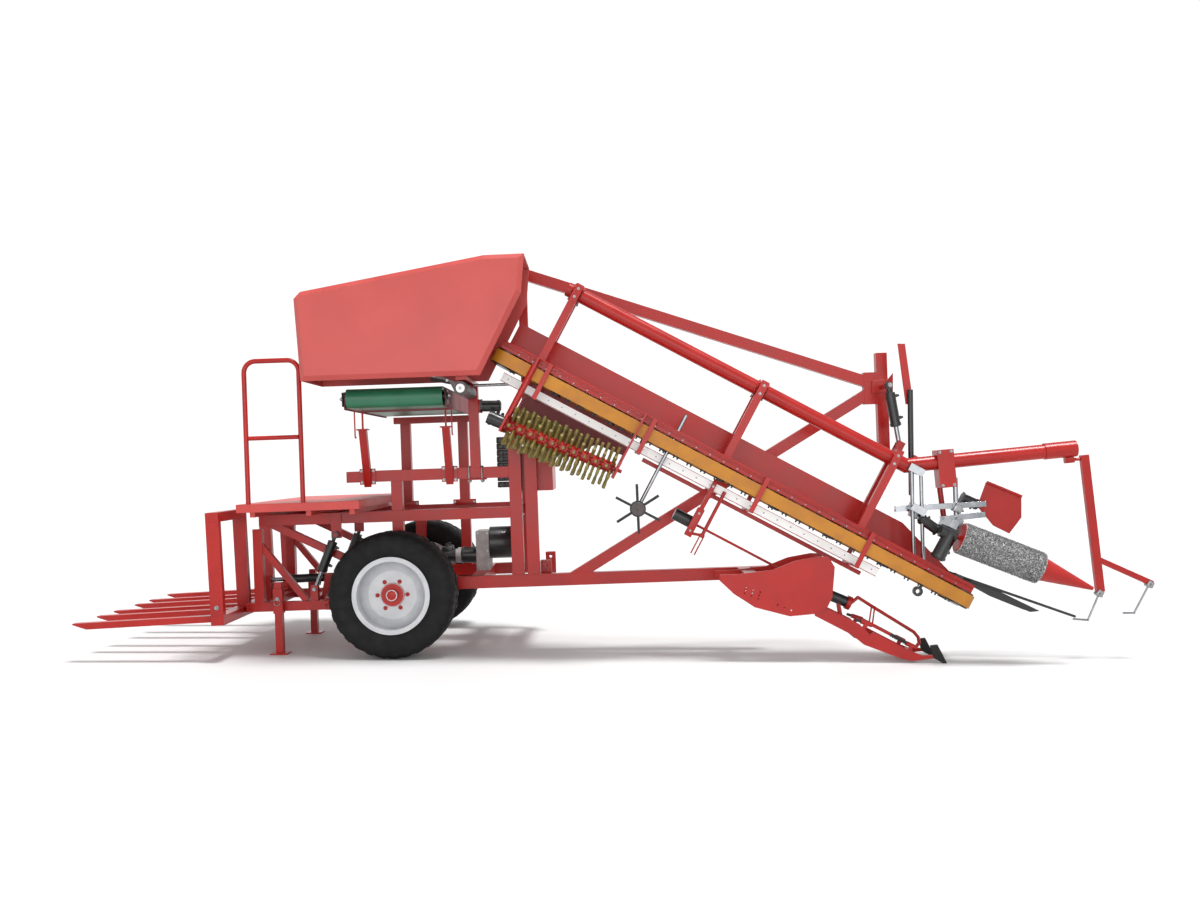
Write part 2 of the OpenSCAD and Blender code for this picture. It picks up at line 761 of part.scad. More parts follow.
// Transfer roller under the hood with its arms
xfer_arm_u = 330;
xfer_arm_v = 1535;
xfer_arm_w = 370;
xfer_arm_h = 185;
xfer_arm_shares = [[0, 1], [0.189, 0.973], [1, 0.297], [0.892, 0], [0.757, 0], [0.622, 0.568],
  [0, 0.838]];
xfer_arm_pts = outline(xfer_arm_shares, xfer_arm_u, xfer_arm_v, xfer_arm_w, xfer_arm_h);
xfer_share = [0.851, 0.243];
xfer = outline([xfer_share], xfer_arm_u, xfer_arm_v, xfer_arm_w, xfer_arm_h)[0];
xfer_r = 52;
module hood_roller() {
  y0 = hood_face_y + hood_fold + 2 * seat;
  y1 = hood_far_y - sheet - 2 * seat;
  color(steel) at_axle() {
    plate(xfer_arm_pts, y0 - seat, y0 + sheet);
    plate(xfer_arm_pts, y1 - sheet, y1 + seat);
    pin_y(xfer[0], xfer[1], y0 + sheet + seat, y1 - sheet - seat, xfer_r);
  }
}

// Cross conveyor
conv_u0 = -278;
conv_u1 = 470;
conv_y0 = -1105;
conv_y1 = 550;
conv_rise = 86;
conv_v = rack_v1 + conv_rise;
conv_r = 75;
conv_t = 6;
pan_t = 8;
pan_gap = 14;
pan_v0 = rack_v1 + seat;
pan_up = 53;
pan_v1 = conv_v + pan_up;
pan_end = 25;
conv_shaft_r = 18;
conv_end = pan_gap + 2 * pan_t;
module conveyor_frame() {
  color(red) at_axle() {
    for (u = [conv_u0 - pan_gap - pan_t, conv_u1 + pan_gap])
      difference() {
        bar(u, u + pan_t, conv_y0 - pan_end, side_out, pan_v0, pan_v1);
        for (y = [conv_y0, conv_y1])
          rod([u - pan_t, y, conv_v], [u + 2 * pan_t, y, conv_v], conv_shaft_r + seat);
      }
    for (y = [prop_y, -side_y])
      bar(conv_u0 - pan_gap + seat, conv_u1 + pan_gap - seat, y - pan_t, y + pan_t, pan_v0, pan_v0 + pan_t);
  }
}
module loop2d(a, b, r) {
  translate([a, 0])
    circle(r = r);
  translate([b, 0])
    circle(r = r);
  translate([a, -r])
    square([b - a, 2 * r]);
}
module conveyor_belt() {
  color(green) at_axle()
    translate([conv_u0, 0, conv_v])
      rotate([90, 0, 90])
        linear_extrude(height = conv_u1 - conv_u0)
          difference() {
            loop2d(conv_y0, conv_y1, conv_r);
            loop2d(conv_y0, conv_y1, conv_r - conv_t);
          }
}
module conveyor_rollers() {
  color(black) at_axle()
    for (y = [conv_y0, conv_y1]) {
      rod([conv_u0, y, conv_v], [conv_u1, y, conv_v], conv_r - conv_t - seat);
      rod([conv_u0 - conv_end, y, conv_v], [conv_u1 + conv_end, y, conv_v], conv_shaft_r);
    }
}

// Deck on its bearers
deck_v0 = rail_v1 + bearer_h;
bearer_shares = [0.099, 0.557, 0.911];
bearer_w = 40;
deck_t = 5;
module deck() {
  under = deck_v0 + deck_h - deck_t;
  color(red) at_axle() {
    bar(deck_u0, deck_u1, deck_y0, deck_y1, under, under + deck_t);
    for (u = [deck_u0, deck_u1 - deck_t])
      bar(u, u + deck_t, deck_y0, deck_y1, deck_v0, under - seat);
    for (y = [deck_y0, deck_y1 - deck_t])
      bar(deck_u0 + deck_t + seat, deck_u1 - deck_t - seat, y, y + deck_t, deck_v0, under - seat);
    for (share = bearer_shares)
      translate([deck_u0 + share * (deck_u1 - deck_u0), 0, 0])
        bar(0, bearer_w, deck_y0 + bearer_w, deck_y1 - bearer_w, rail_v1 + seat, under - seat);
  }
}

// Handrail loop with a knee bar
hand_u = -1088;
hand_w = 428;
hand_us = [hand_u, hand_u + hand_w];
hand_y = -1060;
hand_bend = 90;
hand_knee_share = 0.46;
hand_slim_share = 0.9;
module handrail() {
  v0 = deck_v0 + deck_h + seat;
  v1 = v0 + hand_h;
  v2 = v0 + hand_h * hand_knee_share;
  color(red) at_axle() {
    for (i = [0, 1]) {
      rod([hand_us[i], hand_y, v0], [hand_us[i], hand_y, v1 - hand_bend - seat], hand_r);
      translate([hand_us[i] + (1 - 2 * i) * hand_bend, hand_y, v1 - hand_bend])
        rotate([90, 0, 0])
          rotate([0, 0, 90 - 90 * i])
            rotate_extrude(angle = 90)
              translate([hand_bend, 0])
                circle(r = hand_r);
    }
    translate([hand_u, hand_y, 0]) {
      rod([hand_bend + seat, 0, v1], [hand_w - hand_bend - seat, 0, v1], hand_r);
      rod([hand_r + seat, 0, v2], [hand_w - hand_r - seat, 0, v2], hand_r * hand_slim_share);
    }
  }
}

// Lift frame sides, each a lower arm, a rear post, a diagonal, a leg sleeve and a cylinder lug
lift_post_u = -1165;
lift_post_w = 75;
lift_post_v1 = 540;
lift_diag_u = -748;
lift_diag_v = 430;
lift_diag_w = 50;
leg_u = -958;
leg_w = 60;
leg_v0 = -456;
leg_v1 = 110;
sleeve_t = 8;
sleeve_v0 = -140;
sleeve_v1 = 60;
lug_t = 14;
lift_low_u = -682;
lift_low_v = 38;
lift_top_u = -501;
lift_top_v = 470;
arm_v0 = arm_piv_v - arm_h * half;
arm_v1 = arm_piv_v + arm_h * half;
arm_nose = 36;
leg_gap = 0.5;
leg_bore = leg_w * half + leg_gap;
sleeve_out = leg_w * half + sleeve_t;
sleeve_half = leg_bore + sleeve_t;
leg_y = arm_half + arm_w * half + sleeve_half;
lift_pin_r = 15;
lift_eye_w = 30;
lift_slack = 3;
module lift_sides() {
  color(red) at_axle()
    for (side = [-1, 1])
      translate([0, fork_y + side * arm_half, 0])
        difference() {
          union() {
            sbar(fork_u - arm_nose, arm_piv_u + arm_nose, 0, arm_w, arm_v0, arm_v1);
            sbar(lift_post_u, lift_post_u + lift_post_w, 0, arm_w, arm_v0, lift_post_v1);
            flat([lift_post_u + lift_post_w * half, lift_diag_v], [lift_diag_u, arm_v1],
                 -lift_diag_w * half, lift_diag_w * half, lift_diag_w);
            translate([leg_u, side * (leg_y - arm_half), 0])
              sbar(-sleeve_out, sleeve_out, 0, 2 * sleeve_half, sleeve_v0, sleeve_v1);
            for (lug = [-1, 1])
              translate([lift_low_u, lug * ((lift_eye_w + lug_t) * half + lap), 0])
                sbar(-lift_eye_w, lift_eye_w, 0, lug_t, arm_v1 - lap, lift_low_v + lift_eye_w);
          }
          pin_y(arm_piv_u, arm_piv_v, -arm_w, arm_w, fork_pin_r + run_gap);
          pin_y(fork_u, arm_piv_v, -arm_w, arm_w, fork_pin_r + run_gap);
          pin_y(lift_low_u, lift_low_v, -arm_w, arm_w, lift_pin_r + lift_slack);
          translate([leg_u, side * (leg_y - arm_half), 0])
            sbar(-leg_bore, leg_bore, 0, 2 * leg_bore, sleeve_v0 - sheet, sleeve_v1 + sheet);
        }
}

// Cross tubes of the lift frame with the lugs of the tilt cylinder
cross_u = -1146;
cross_step = 346;
cross_us = [cross_u, cross_u + cross_step];
cross_tube = 60;
tilt_u = -671;
tilt_v = 86;
tilt_eye_w = 34;
tilt_pin_r = 14;
tilt_lug_y = (tilt_eye_w + lug_t) * half + lap;
module lift_cross() {
  y0 = fork_y - arm_in;
  y1 = fork_y + arm_in;
  color(red) at_axle() {
    for (u = cross_us)
      bar(u, u + cross_tube, y0, y1, arm_piv_v - cross_tube * half, arm_piv_v + cross_tube * half);
    root = cross_us[1] + cross_tube - lap;
    for (lug = [-1, 1])
      translate([0, fork_y + lug * tilt_lug_y, 0])
        plate([[root, arm_piv_v - cross_tube * half], [tilt_u + tilt_eye_w, tilt_v - tilt_eye_w],
               [tilt_u + tilt_eye_w, tilt_v + tilt_eye_w], [tilt_u - tilt_eye_w, tilt_v + tilt_eye_w],
               [root, arm_piv_v + cross_tube * half]],
              -lug_t * half, lug_t * half);
    pin_y(tilt_u, tilt_v, fork_y - tilt_eye_w, fork_y + tilt_eye_w, tilt_pin_r);
  }
}

// Parking legs
foot_w = 138;
foot_t = 12;
module leg(side) {
  color(red) intersection() {
    at_axle()
      translate([0, fork_y + side * leg_y, 0]) {
        sbar(leg_u - leg_w * half, leg_u + leg_w * half, 0, leg_w, leg_v0, leg_v1);
        sbar(leg_u - foot_w * half, leg_u + foot_w * half, 0, foot_w, leg_v0 - foot_t, leg_v0);
      }
    translate([-track * 2, -track * 2, 0])
      cube([track * 4, track * 4, track * 2]);
  }
}
module leg_right() {
  leg(-1);
}
module leg_left() {
  leg(1);
}

// Fork carriage, bottom tube and lugs, then its posts and tines
car_x1 = -50;
car_d = 100;
car_h = 74;
car_tube_z0 = -66;
inner_half = 335;
car_lug_t = 20;
car_lug_h = 40;
car_top = 74;
module fork_frame() {
  color(red) at_fork() {
    bar(car_x1 - car_d, car_x1, -fork_half, fork_half, car_tube_z0, car_tube_z0 + car_h);
    for (side = [-1, 1]) {
      translate([0, side * (arm_in - car_lug_t * half - seat), 0]) {
        sbar(car_x1 - seat, car_lug_h, 0, car_lug_t, -car_lug_h, car_lug_h);
        pin_y(0, 0, side > 0 ? 0 : -arm_w, side > 0 ? arm_w : 0, fork_pin_r);
      }
      translate([0, side * (inner_half + fork_half) * half, 0])
        sbar(car_x1 - car_d, car_x1, 0, fork_half - inner_half, fork_h - car_top, fork_h);
    }
    z1 = tilt_rod_z + tilt_eye_w;
    for (lug = [-1, 1])
      sbar(car_x1 - seat, tilt_lug, lug * tilt_lug_y, lug_t, 0, z1);
    sbar(car_x1 - car_d * half, car_x1, 0, 2 * (tilt_eye_w + lug_t), car_tube_z0 + car_h - seat, z1);
  }
}
tilt_lug = 30;
tilt_rod_z = 171;
car_post_w = 60;
module fork_posts() {
  color(red) at_fork()
    for (side = [-1, 1], y = [fork_half - car_post_w * half, inner_half + car_post_w * half])
      translate([0, side * y, 0])
        sbar(car_x1 - car_d, car_x1, 0, car_post_w, car_tube_z0 + car_h + seat, fork_h - car_top - seat);
}
tine_shares = [0.934, 0.517, 0.209];
tine_tip = 105;
tine_tip_t = 10;
module tines() {
  x0 = car_x1 - car_d - seat;
  z1 = car_tube_z0 + car_h;
  x1 = x0 - tine_len;
  color(red) at_fork()
    for (side = [-1, 1], share = tine_shares)
      translate([0, side * share * fork_half, 0])
        plate([[x0, z1], [x0, z1 - tine_h], [x1 + tine_tip, z1 - tine_h], [x1, z1 - tine_tip_t], [x1, z1]],
              -tine_w * half, tine_w * half);
}

// Cylinders. A barrel turns on its pin and its rod slides in it
module barrel(p, q, y, r, share, bore, eye_r, pin, w) {
  d = (q - p) / norm(q - p);
  e = p + d * norm(q - p) * share;
  s = p + d * eye_r * neck_share;
  difference() {
    union() {
      rod([s[0], y, s[1]], [e[0], y, e[1]], r);
      rod([p[0], y, p[1]], [s[0] + d[0] * lap, y, s[1] + d[1] * lap], w * half);
      pin_y(p[0], p[1], y - w * half, y + w * half, eye_r);
    }
    pin_y(p[0], p[1], y - w, y + w, pin + run_gap);
    b = s + d * r * half;
    f = e + d * r;
    rod([b[0], y, b[1]], [f[0], y, f[1]], bore + run_gap);
  }
}
module piston(p, q, y, share, r, eye_r, w, pin, pin_w) {
  d = (q - p) / norm(q - p);
  b = p + d * norm(q - p) * share;
  pin_y(q[0], q[1], y - w * half, y + w * half, eye_r);
  rod([b[0], y, b[1]], [q[0], y, q[1]], r);
  if (pin > 0)
    pin_y(q[0], q[1], y - pin_w * half, y + pin_w * half, pin);
}
neck_share = 2;
lift_top = [lift_top_u, lift_top_v];
lift_low = [lift_low_u, lift_low_v];
lift_cyl_r = 38;
lift_rod_r = 15;
lift_share = 0.66;
lift_in = 0.45;
lift_eye_r = 28;
lift_ys = [fork_y - arm_half, fork_y + arm_half];
module lift_barrels() {
  color(black) at_axle()
    for (y = lift_ys)
      barrel(lift_top, lift_low, y, lift_cyl_r, lift_share, lift_rod_r, lift_eye_r, lift_pin_r, lift_eye_w);
}
module lift_rods() {
  color(steel) at_axle()
    for (y = lift_ys)
      piston(lift_top, lift_low, y, lift_in, lift_rod_r, lift_eye_r, lift_eye_w, lift_pin_r, arm_w);
}
tilt_a = [tilt_u, tilt_v];
tilt_b = [fork_u - sin(fork_lean) * tilt_rod_z, arm_piv_v + cos(fork_lean) * tilt_rod_z];
tilt_cyl_r = 36;
tilt_rod_r = 18;
tilt_share = 0.68;
tilt_in = 0.4;
tilt_eye_r = 26;
module tilt_barrel() {
  color(black) at_axle()
    barrel(tilt_a, tilt_b, fork_y, tilt_cyl_r, tilt_share, tilt_rod_r, tilt_eye_r, tilt_pin_r, tilt_eye_w);
}
module tilt_rod() {
  color(steel) at_axle()
    piston(tilt_a, tilt_b, fork_y, tilt_in, tilt_rod_r, tilt_eye_r, tilt_eye_w, 0, 0);
}
boom_a = [cyl_u, cyl_v];
boom_eye_fore = 28;
boom_eye_s = belt_len - hang_back + boom_eye_fore;
boom_eye_n = 861;
boom_eye_u = belt_u + boom_eye_s * cos(belt_angle) + boom_eye_n * sin(belt_angle);
boom_eye_v = belt_v - boom_eye_s * sin(belt_angle) + boom_eye_n * cos(belt_angle);
boom_eye = [boom_eye_u, boom_eye_v];
boom_cyl_r = 40;
boom_rod_r = 20;
boom_share = 0.68;
boom_in = 0.42;
boom_eye_r = 30;
module boom_barrel() {
  color(black) at_axle()
    barrel(boom_a, boom_eye, cyl_y, boom_cyl_r, boom_share, boom_rod_r, boom_eye_r, cyl_pin_r, cyl_eye_w);
}
module boom_rod() {
  color(steel) at_axle()
    piston(boom_a, boom_eye, cyl_y, boom_in, boom_rod_r, boom_eye_r, cyl_eye_w, 0, 0);
}

// Wheels
tyre_seat_r = rim_r - rim_flange + seat;
bead_half = 160;
bulge = 40;
crown_drop = 15;
crown_half_share = 0.6;
shoulder_share = 0.85;
module at_wheel(side) {
  at_axle()
    translate([0, side * wheel_y, 0])
      rotate([-90 * side, 0, 0])
        children();
}
module tyre(side) {
  h = tyre_w * half;
  color(black) at_wheel(side)
    rotate_extrude()
      polygon([[tyre_seat_r, -bead_half], [rim_r + seat, -bead_half], [rim_r + bulge, -h],
               [tyre_r - 2 * bulge, -h], [tyre_r - crown_drop, -h * shoulder_share],
               [tyre_r, -h * crown_half_share], [tyre_r, h * crown_half_share],
               [tyre_r - crown_drop, h * shoulder_share], [tyre_r - 2 * bulge, h],
               [rim_r + bulge, h], [rim_r + seat, bead_half], [tyre_seat_r, bead_half]]);
}
flange_t = 10;
barrel_t = 12;
disc_z = 50;
disc_t = 14;
hub_r = 92;
hub_in = 60;
hub_out = 95;
cap_r = 44;
cap_out = 130;
dish_r = 190;
dish = 34;
module rim(side) {
  s = rim_r - rim_flange;
  b = bead_half + seat;
  f = b + flange_t;
  i = s - barrel_t;
  color(pale) at_wheel(side)
    difference() {
      union() {
        rotate_extrude()
          polygon([[i, -f], [rim_r, -f], [rim_r, -b], [s, -b], [s, b], [rim_r, b], [rim_r, f], [i, f]]);
        rotate_extrude()
          polygon([[hub_r - disc_t, disc_z + dish], [dish_r, disc_z + dish], [i + lap, disc_z],
                   [i + lap, disc_z - disc_t], [dish_r, disc_z + dish - disc_t],
                   [hub_r - disc_t, disc_z + dish - disc_t]]);
        translate([0, 0, -hub_in])
          cylinder(h = hub_in + hub_out, r = hub_r);
        translate([0, 0, hub_out - lap])
          cylinder(h = cap_out - hub_out + lap, r = cap_r);
      }
      translate([0, 0, -hub_in - lap])
        cylinder(h = hub_in + stub_tip + 2 * lap, r = stub_r + run_gap);
    }
}
module tyre_right() {
  tyre(-1);
}
module rim_right() {
  rim(-1);
}
module tyre_left() {
  tyre(1);
}
module rim_left() {
  rim(1);
}

// Lifting unit, placed along the belts
boom_s0 = 270;
boom_tip = [boom_bend_s + boom_front * cos(boom_rise), boom_n + boom_front * sin(boom_rise)];
boom_sleeve = 250;
boom_sleeve_r = 64;
module boom() {
  d = [cos(boom_rise), sin(boom_rise)];
  m = boom_tip - d * boom_sleeve;
  e = [boom_bend_s, boom_n];
  over = boom_r * tan(boom_rise * half);
  color(red) at_belt() {
    intersection() {
      rod([boom_s0, 0, boom_n], [boom_bend_s + over, 0, boom_n], boom_r);
      translate([boom_bend_s, 0, boom_n])
        rotate([0, -boom_rise * half, 0])
          bar(-boom_bend_s, -seat * half, -2 * boom_r, 2 * boom_r, -boom_bend_s, boom_bend_s);
    }
    intersection() {
      union() {
        rod([e[0] - d[0] * over, 0, e[1] - d[1] * over], [boom_tip[0], 0, boom_tip[1]], boom_r);
        rod([m[0], 0, m[1]], [boom_tip[0], 0, boom_tip[1]], boom_sleeve_r);
      }
      translate([boom_bend_s, 0, boom_n])
        rotate([0, -boom_rise * half, 0])
          bar(seat * half, boom_bend_s, -2 * boom_r, 2 * boom_r, -boom_bend_s, boom_bend_s);
    }
    clevis();
  }
}
clevis_t = 14;
clevis_gap = 1;
clevis_base = 28;
clevis_y = cyl_y - row_y;
module clevis() {
  n0 = boom_n + boom_r + hang_over + seat;
  n1 = n0 + clevis_base;
  w = cyl_eye_w * half + clevis_gap;
  bar(boom_eye_s - boom_eye_r, boom_eye_s + boom_eye_r, boom_r * half, clevis_y + w + clevis_t, n0, n1);
  for (side = [-1, 1])
    translate([boom_eye_s, clevis_y + side * (w + clevis_t * half), 0])
      sbar(-boom_eye_r, boom_eye_r, 0, clevis_t, n1 + seat, boom_eye_n + boom_eye_r);
}

hang_w = 60;
hang_t = 44;
hang_over = 10;
frame_gap = 12;
frame_n0 = belt_w * half + frame_gap;
frame_n1 = frame_n0 + frame_h;
module hangers() {
  color(red) at_belt() {
    for (s = hang_ss, side = [-1, 1])
      translate([s, side * (boom_r + seat + hang_t * half), 0])
        sbar(-hang_w * half, hang_w * half, 0, hang_t, frame_n1 + seat, boom_n + boom_r + hang_over);
    difference() {
      boom_clamp(0);
      at_front_boom()
        rod([0, 0, 0], [boom_front, 0, 0], boom_r + seat);
    }
    plate(flag_pts, post_y + post_r + seat, post_y + post_r + flag_t);
    translate([belt_len - post_lug_back, 0, boom_n])
      bar(0, post_lug_w, boom_r + seat, post_y - post_r - seat, 0, 2 * boom_r);
  }
}

// Places at the front of the lifter as shares of its reach, measured from the belts' front end
front_span = 1000;
function from_nose(shares) = [for (p = shares) [belt_len + p[0] * front_span, p[1] * front_span]];

// Height post behind the boom with its flag plate
post_r = 22;
post_y = 95;
post_lug_back = 877;
post_lug_w = 90;
post_shares = [[-0.742, 0.545], [-1.137, 1.28]];
post_pts = from_nose(post_shares);
flag_t = 16;
flag_back = 1389;
flag_v = 1165;
flag_w = 328;
flag_h = 423;
flag_shares = [[0, 0.939], [0.155, 1], [1, 0.083], [0.857, 0]];
flag_pts = outline(flag_shares, belt_len - flag_back, flag_v, flag_w, flag_h);
frame_s0 = 40;
frame_end = 60;
frame_s1 = belt_len - frame_end;
frame_y0 = 30;
frame_y1 = 190;
star_s = 1545;
star_rod_r = 15;
star_y = -110;
module belt_frames() {
  color(red) at_belt() {
    difference() {
      bar(frame_s0, frame_s1, -frame_y1, -frame_y0, frame_n0, frame_n1);
      rod([star_s, star_y, 0], [star_s, star_y, frame_n1 + frame_h], star_rod_r + seat);
    }
    bar(frame_s0, frame_s1, frame_y0, guard_y - seat, frame_n0, frame_n1);
  }
}
guard_n1 = 330;
guard_t = 8;
guard_back = 667;
guard_s1 = belt_len - guard_back;
boss_r = 58;
boss_t = 22;
piv_s = (piv_u - belt_u) * cos(belt_angle) - (lift_piv_v - belt_v) * sin(belt_angle);
piv_n = (piv_u - belt_u) * sin(belt_angle) + (lift_piv_v - belt_v) * cos(belt_angle);
module far_guard() {
  color(red) at_belt()
    difference() {
      union() {
        plate([[frame_s0, frame_n0], [frame_s1, frame_n0], [frame_s1, frame_n1],
               [guard_s1, guard_n1], [frame_s0, guard_n1]],
              guard_y, guard_y + guard_t);
        pin_y(piv_s, piv_n, guard_y, guard_y + guard_t + boss_t, boss_r);
      }
      pin_y(piv_s, piv_n, 0, guard_y * 2, lift_piv_r + run_gap);
    }
}
module belts() {
  color(mustard) at_belt()
    for (side = [-1, 1])
      translate([0, side * (belt_r + slot_half), -belt_w * half])
        linear_extrude(height = belt_w)
          difference() {
            loop2d(belt_r, belt_len - belt_r, belt_r);
            loop2d(belt_r, belt_len - belt_r, belt_r - belt_t);
          }
}
pulley_h = frame_n0 - seat;
idler_r = 30;
idler_step = 480;
module pulleys() {
  color(black) at_belt()
    for (side = [-1, 1]) {
      for (s = [belt_r, belt_len - belt_r])
        translate([s, side * (belt_r + slot_half), -pulley_h])
          cylinder(h = 2 * pulley_h, r = belt_r - belt_t - seat);
      for (s = [belt_r + idler_step : idler_step : belt_len - 2 * belt_r - idler_r])
        translate([s, side * (slot_half + belt_t + seat + idler_r), -pulley_h])
          cylinder(h = 2 * pulley_h, r = idler_r);
    }
}
rail_s0 = 137;
rail_back = 737;
rail_s1 = belt_len - rail_back;
rail_n0 = -160;
rail_n1 = -90;
rail_y = 60;
rail_t = 10;
module guide_rails() {
  color(pale) at_belt()
    for (side = [-1, 1])
      sbar(rail_s0, rail_s1, side * rail_y, rail_t, rail_n0, rail_n1);
}
brk_shares = [0.103, 0.319, 0.552, 0.77];
brk_w = 36;
brk_t = 12;
brk_y = 222;
under_back = 805;
under_len = 1952;
under_y = 140;
under_w = 20;
under_h = 34;
under_n1 = rail_n0 - brk_t - 2 * seat;
module rail_brackets() {
  color(red) at_belt() {
    translate([belt_len - under_back, 0, 0])
      sbar(-under_len, 0, under_y, under_w, under_n1 - under_h, under_n1);
    for (share = brk_shares, side = [-1, 1])
      translate([share * belt_len, 0, 0]) {
        sbar(0, brk_w, side * brk_y, brk_t, rail_n0 - seat, frame_n0 - seat);
        translate([0, side * (rail_y + brk_y) * half, rail_n0 - brk_t - seat])
          sbar(0, brk_w, 0, brk_y - rail_y + brk_t, 0, brk_t - seat);
        if (side < 0)
          bar(0, brk_w, -brk_y - brk_t * half, -frame_y1 - seat, frame_n0, frame_n1);
      }
  }
}

// Cleaning rotors under the belts
rot_y = 200;
rot_s0 = 363;
rot_s1 = 1242;
rot_n0 = -438;
rot_n1 = -359;
rot_a = [rot_s0, rot_n0];
rot_b = [rot_s1, rot_n1];
rot_tube_r = 42;
rot_rings = 10;
rot_per = 6;
rot_shaft_r = 20;
rot_len = norm(rot_b - rot_a);
rot_ang = atan2(rot_b[1] - rot_a[1], rot_b[0] - rot_a[0]);
module at_rotor(side) {
  at_belt()
    translate([rot_a[0], side * rot_y, rot_a[1]])
      rotate([0, 90 - rot_ang, 0])
        children();
}
rot_end = 25;
rot_turn = 30;
module rotor(side) {
  step = rot_len / rot_rings;
  color(olive) at_rotor(side) {
    cylinder(h = rot_len, r = rot_tube_r);
    translate([0, 0, -rot_end])
      cylinder(h = rot_len + 2 * rot_end, r = rot_shaft_r);
    for (i = [0 : rot_rings - 1], k = [0 : rot_per - 1])
      translate([0, 0, step * (i + half)])
        rotate([0, 90, rot_turn * (i % 2) + k * 360 / rot_per])
          cylinder(h = finger_tip_r, r = finger_r);
  }
}
module rotor_right() {
  rotor(-1);
}
module rotor_left() {
  rotor(1);
}
rot_skew = 8;
rot_plate_t = 16;
rot_leg_y = 385;
rot_leg_w = 50;
rot_plate_n = 70;
module rotor_frame() {
  color(red) at_belt()
    for (e = [0, 1]) {
      p = e == 0 ? rot_a : rot_b;
      dir = e == 0 ? -1 : 1;
      s0 = p[0] + dir * rot_end * half - rot_plate_t * half + dir * rot_skew;
      difference() {
        bar(s0, s0 + rot_plate_t, -rot_leg_y, rot_leg_y, p[1] - rot_plate_n, p[1] + rot_plate_n);
        for (side = [-1, 1])
          translate([p[0], side * rot_y, p[1]])
            rotate([0, 90 - rot_ang, 0])
              translate([0, 0, -rot_leg_w])
                cylinder(h = 2 * rot_leg_w, r = rot_shaft_r + run_gap);
      }
      n0 = p[1] + rot_plate_n + seat;
      bar(s0, s0 + rot_plate_t, -brk_y - rot_leg_w, -brk_y, n0, frame_n1);
      bar(s0, s0 + rot_plate_t, -brk_y + seat, -frame_y1 - seat, frame_n0, frame_n1);
      bar(s0, s0 + rot_plate_t, guard_y + guard_t + seat, guard_y + guard_t + rot_leg_w, n0, frame_n1);
    }
}

// Guard panel on the far side of the rotors
rot_guard_u = 320;
rot_guard_v = -480;
rot_guard_w = 950;
rot_guard_h = 520;
rot_guard_shares = [[0, 1], [1, 1], [1, 0.481], [0.748, 0.442], [0.537, 0], [0, 0]];
rot_guard_pts = outline(rot_guard_shares, rot_guard_u, rot_guard_v, rot_guard_w, rot_guard_h);
module rotor_guard() {
  color(red) at_belt()
    plate(rot_guard_pts, rot_leg_y + seat, rot_leg_y + sheet);
}

// Star wheel that clears leaves, on its rod
star_n = -547;
star_hub_r = 62;
star_hub_w = 36;
star_tip_r = 190;
star_arm_t = 20;
star_arms = 6;
star_pin_r = 16;
star_top_n = 266;
star_off = 45;
module star_wheel() {
  color(black) at_belt()
    translate([star_s, star_y - star_off, star_n])
      rotate([90, 0, 0])
        difference() {
          union() {
            cylinder(h = star_hub_w, r = star_hub_r);
            for (k = [0 : star_arms - 1])
              rotate([0, 0, k * 360 / star_arms])
                translate([0, -star_arm_t * half, 0])
                  cube([star_tip_r, star_arm_t, star_hub_w]);
          }
          translate([0, 0, -lap])
            cylinder(h = star_hub_w + 2 * lap, r = star_pin_r + run_gap);
        }
}

// Black hydraulic motors
motor_r = 50;
motor_len = 130;

// Brush drum on its slanted shaft
drum_y = -250;
drum_back = 352;
drum_fore = 297;
drum_n0 = 397;
drum_n1 = 472;
drum_a = [belt_len - drum_back, drum_n0];
drum_b = [belt_len + drum_fore, drum_n1];
drum_cone = 430;
drum_cone_r = 95;
drum_tip_r = 14;
drum_shaft_r = 20;
drum_tail = 30;
drum_len = norm(drum_b - drum_a);
drum_ang = atan2(drum_b[1] - drum_a[1], drum_b[0] - drum_a[0]);
module at_drum() {
  at_belt()
    translate([drum_a[0], drum_y, drum_a[1]])
      rotate([0, 90 - drum_ang, 0])
        children();
}
module drum_motor(grow) {
  translate([drum_a[0], drum_y, drum_a[1]])
    rotate([0, 90 - drum_ang, 0])
      translate([0, 0, -drum_tail - seat - motor_len])
        cylinder(h = motor_len, r = motor_r + grow);
}
module brush_drum() {
  color(grey) at_drum() {
    cylinder(h = drum_len, r = drum_r);
    translate([0, 0, drum_len])
      cylinder(h = drum_cone, r1 = drum_cone_r, r2 = drum_tip_r);
    translate([0, 0, -drum_tail])
      cylinder(h = drum_tail + lap, r = drum_shaft_r);
  }
}

// Crop divider rods at the front of the belts
nose_lift = 14;
nose_back = 182;
nose_fore = 785;
nose_tip_n = 284;
nose_a = [belt_len - nose_back, frame_n1 + nose_lift];
nose_b = [belt_len + nose_fore, nose_tip_n];
nose_r = 10;
nose_y = 120;
nose_tip_y = 60;
nose_sink = 4;
nose_plate_back = 207;
nose_w = 728;
nose_h = 72;
nose_shares = [[0, 0.06], [0.206, 0.06], [0.51, 0], [0.911, 0.403], [1, 1], [0.39, 0.819],
  [0, 0.403]];
nose_pts = outline(nose_shares, belt_len - nose_plate_back, frame_n1 - nose_sink, nose_w, nose_h);
module nose_rods() {
  color(black) at_belt()
    for (side = [-1, 1]) {
      rod([nose_a[0], side * nose_y, nose_a[1] + seat], [nose_b[0], side * nose_tip_y, nose_b[1]], nose_r);
      sbar(nose_a[0] - brk_w, nose_a[0] + brk_w, side * nose_y, brk_w, frame_n1 + seat, nose_a[1] + nose_r);
      plate(nose_pts, side * nose_tip_y - sheet * half, side * nose_tip_y + sheet * half);
    }
}

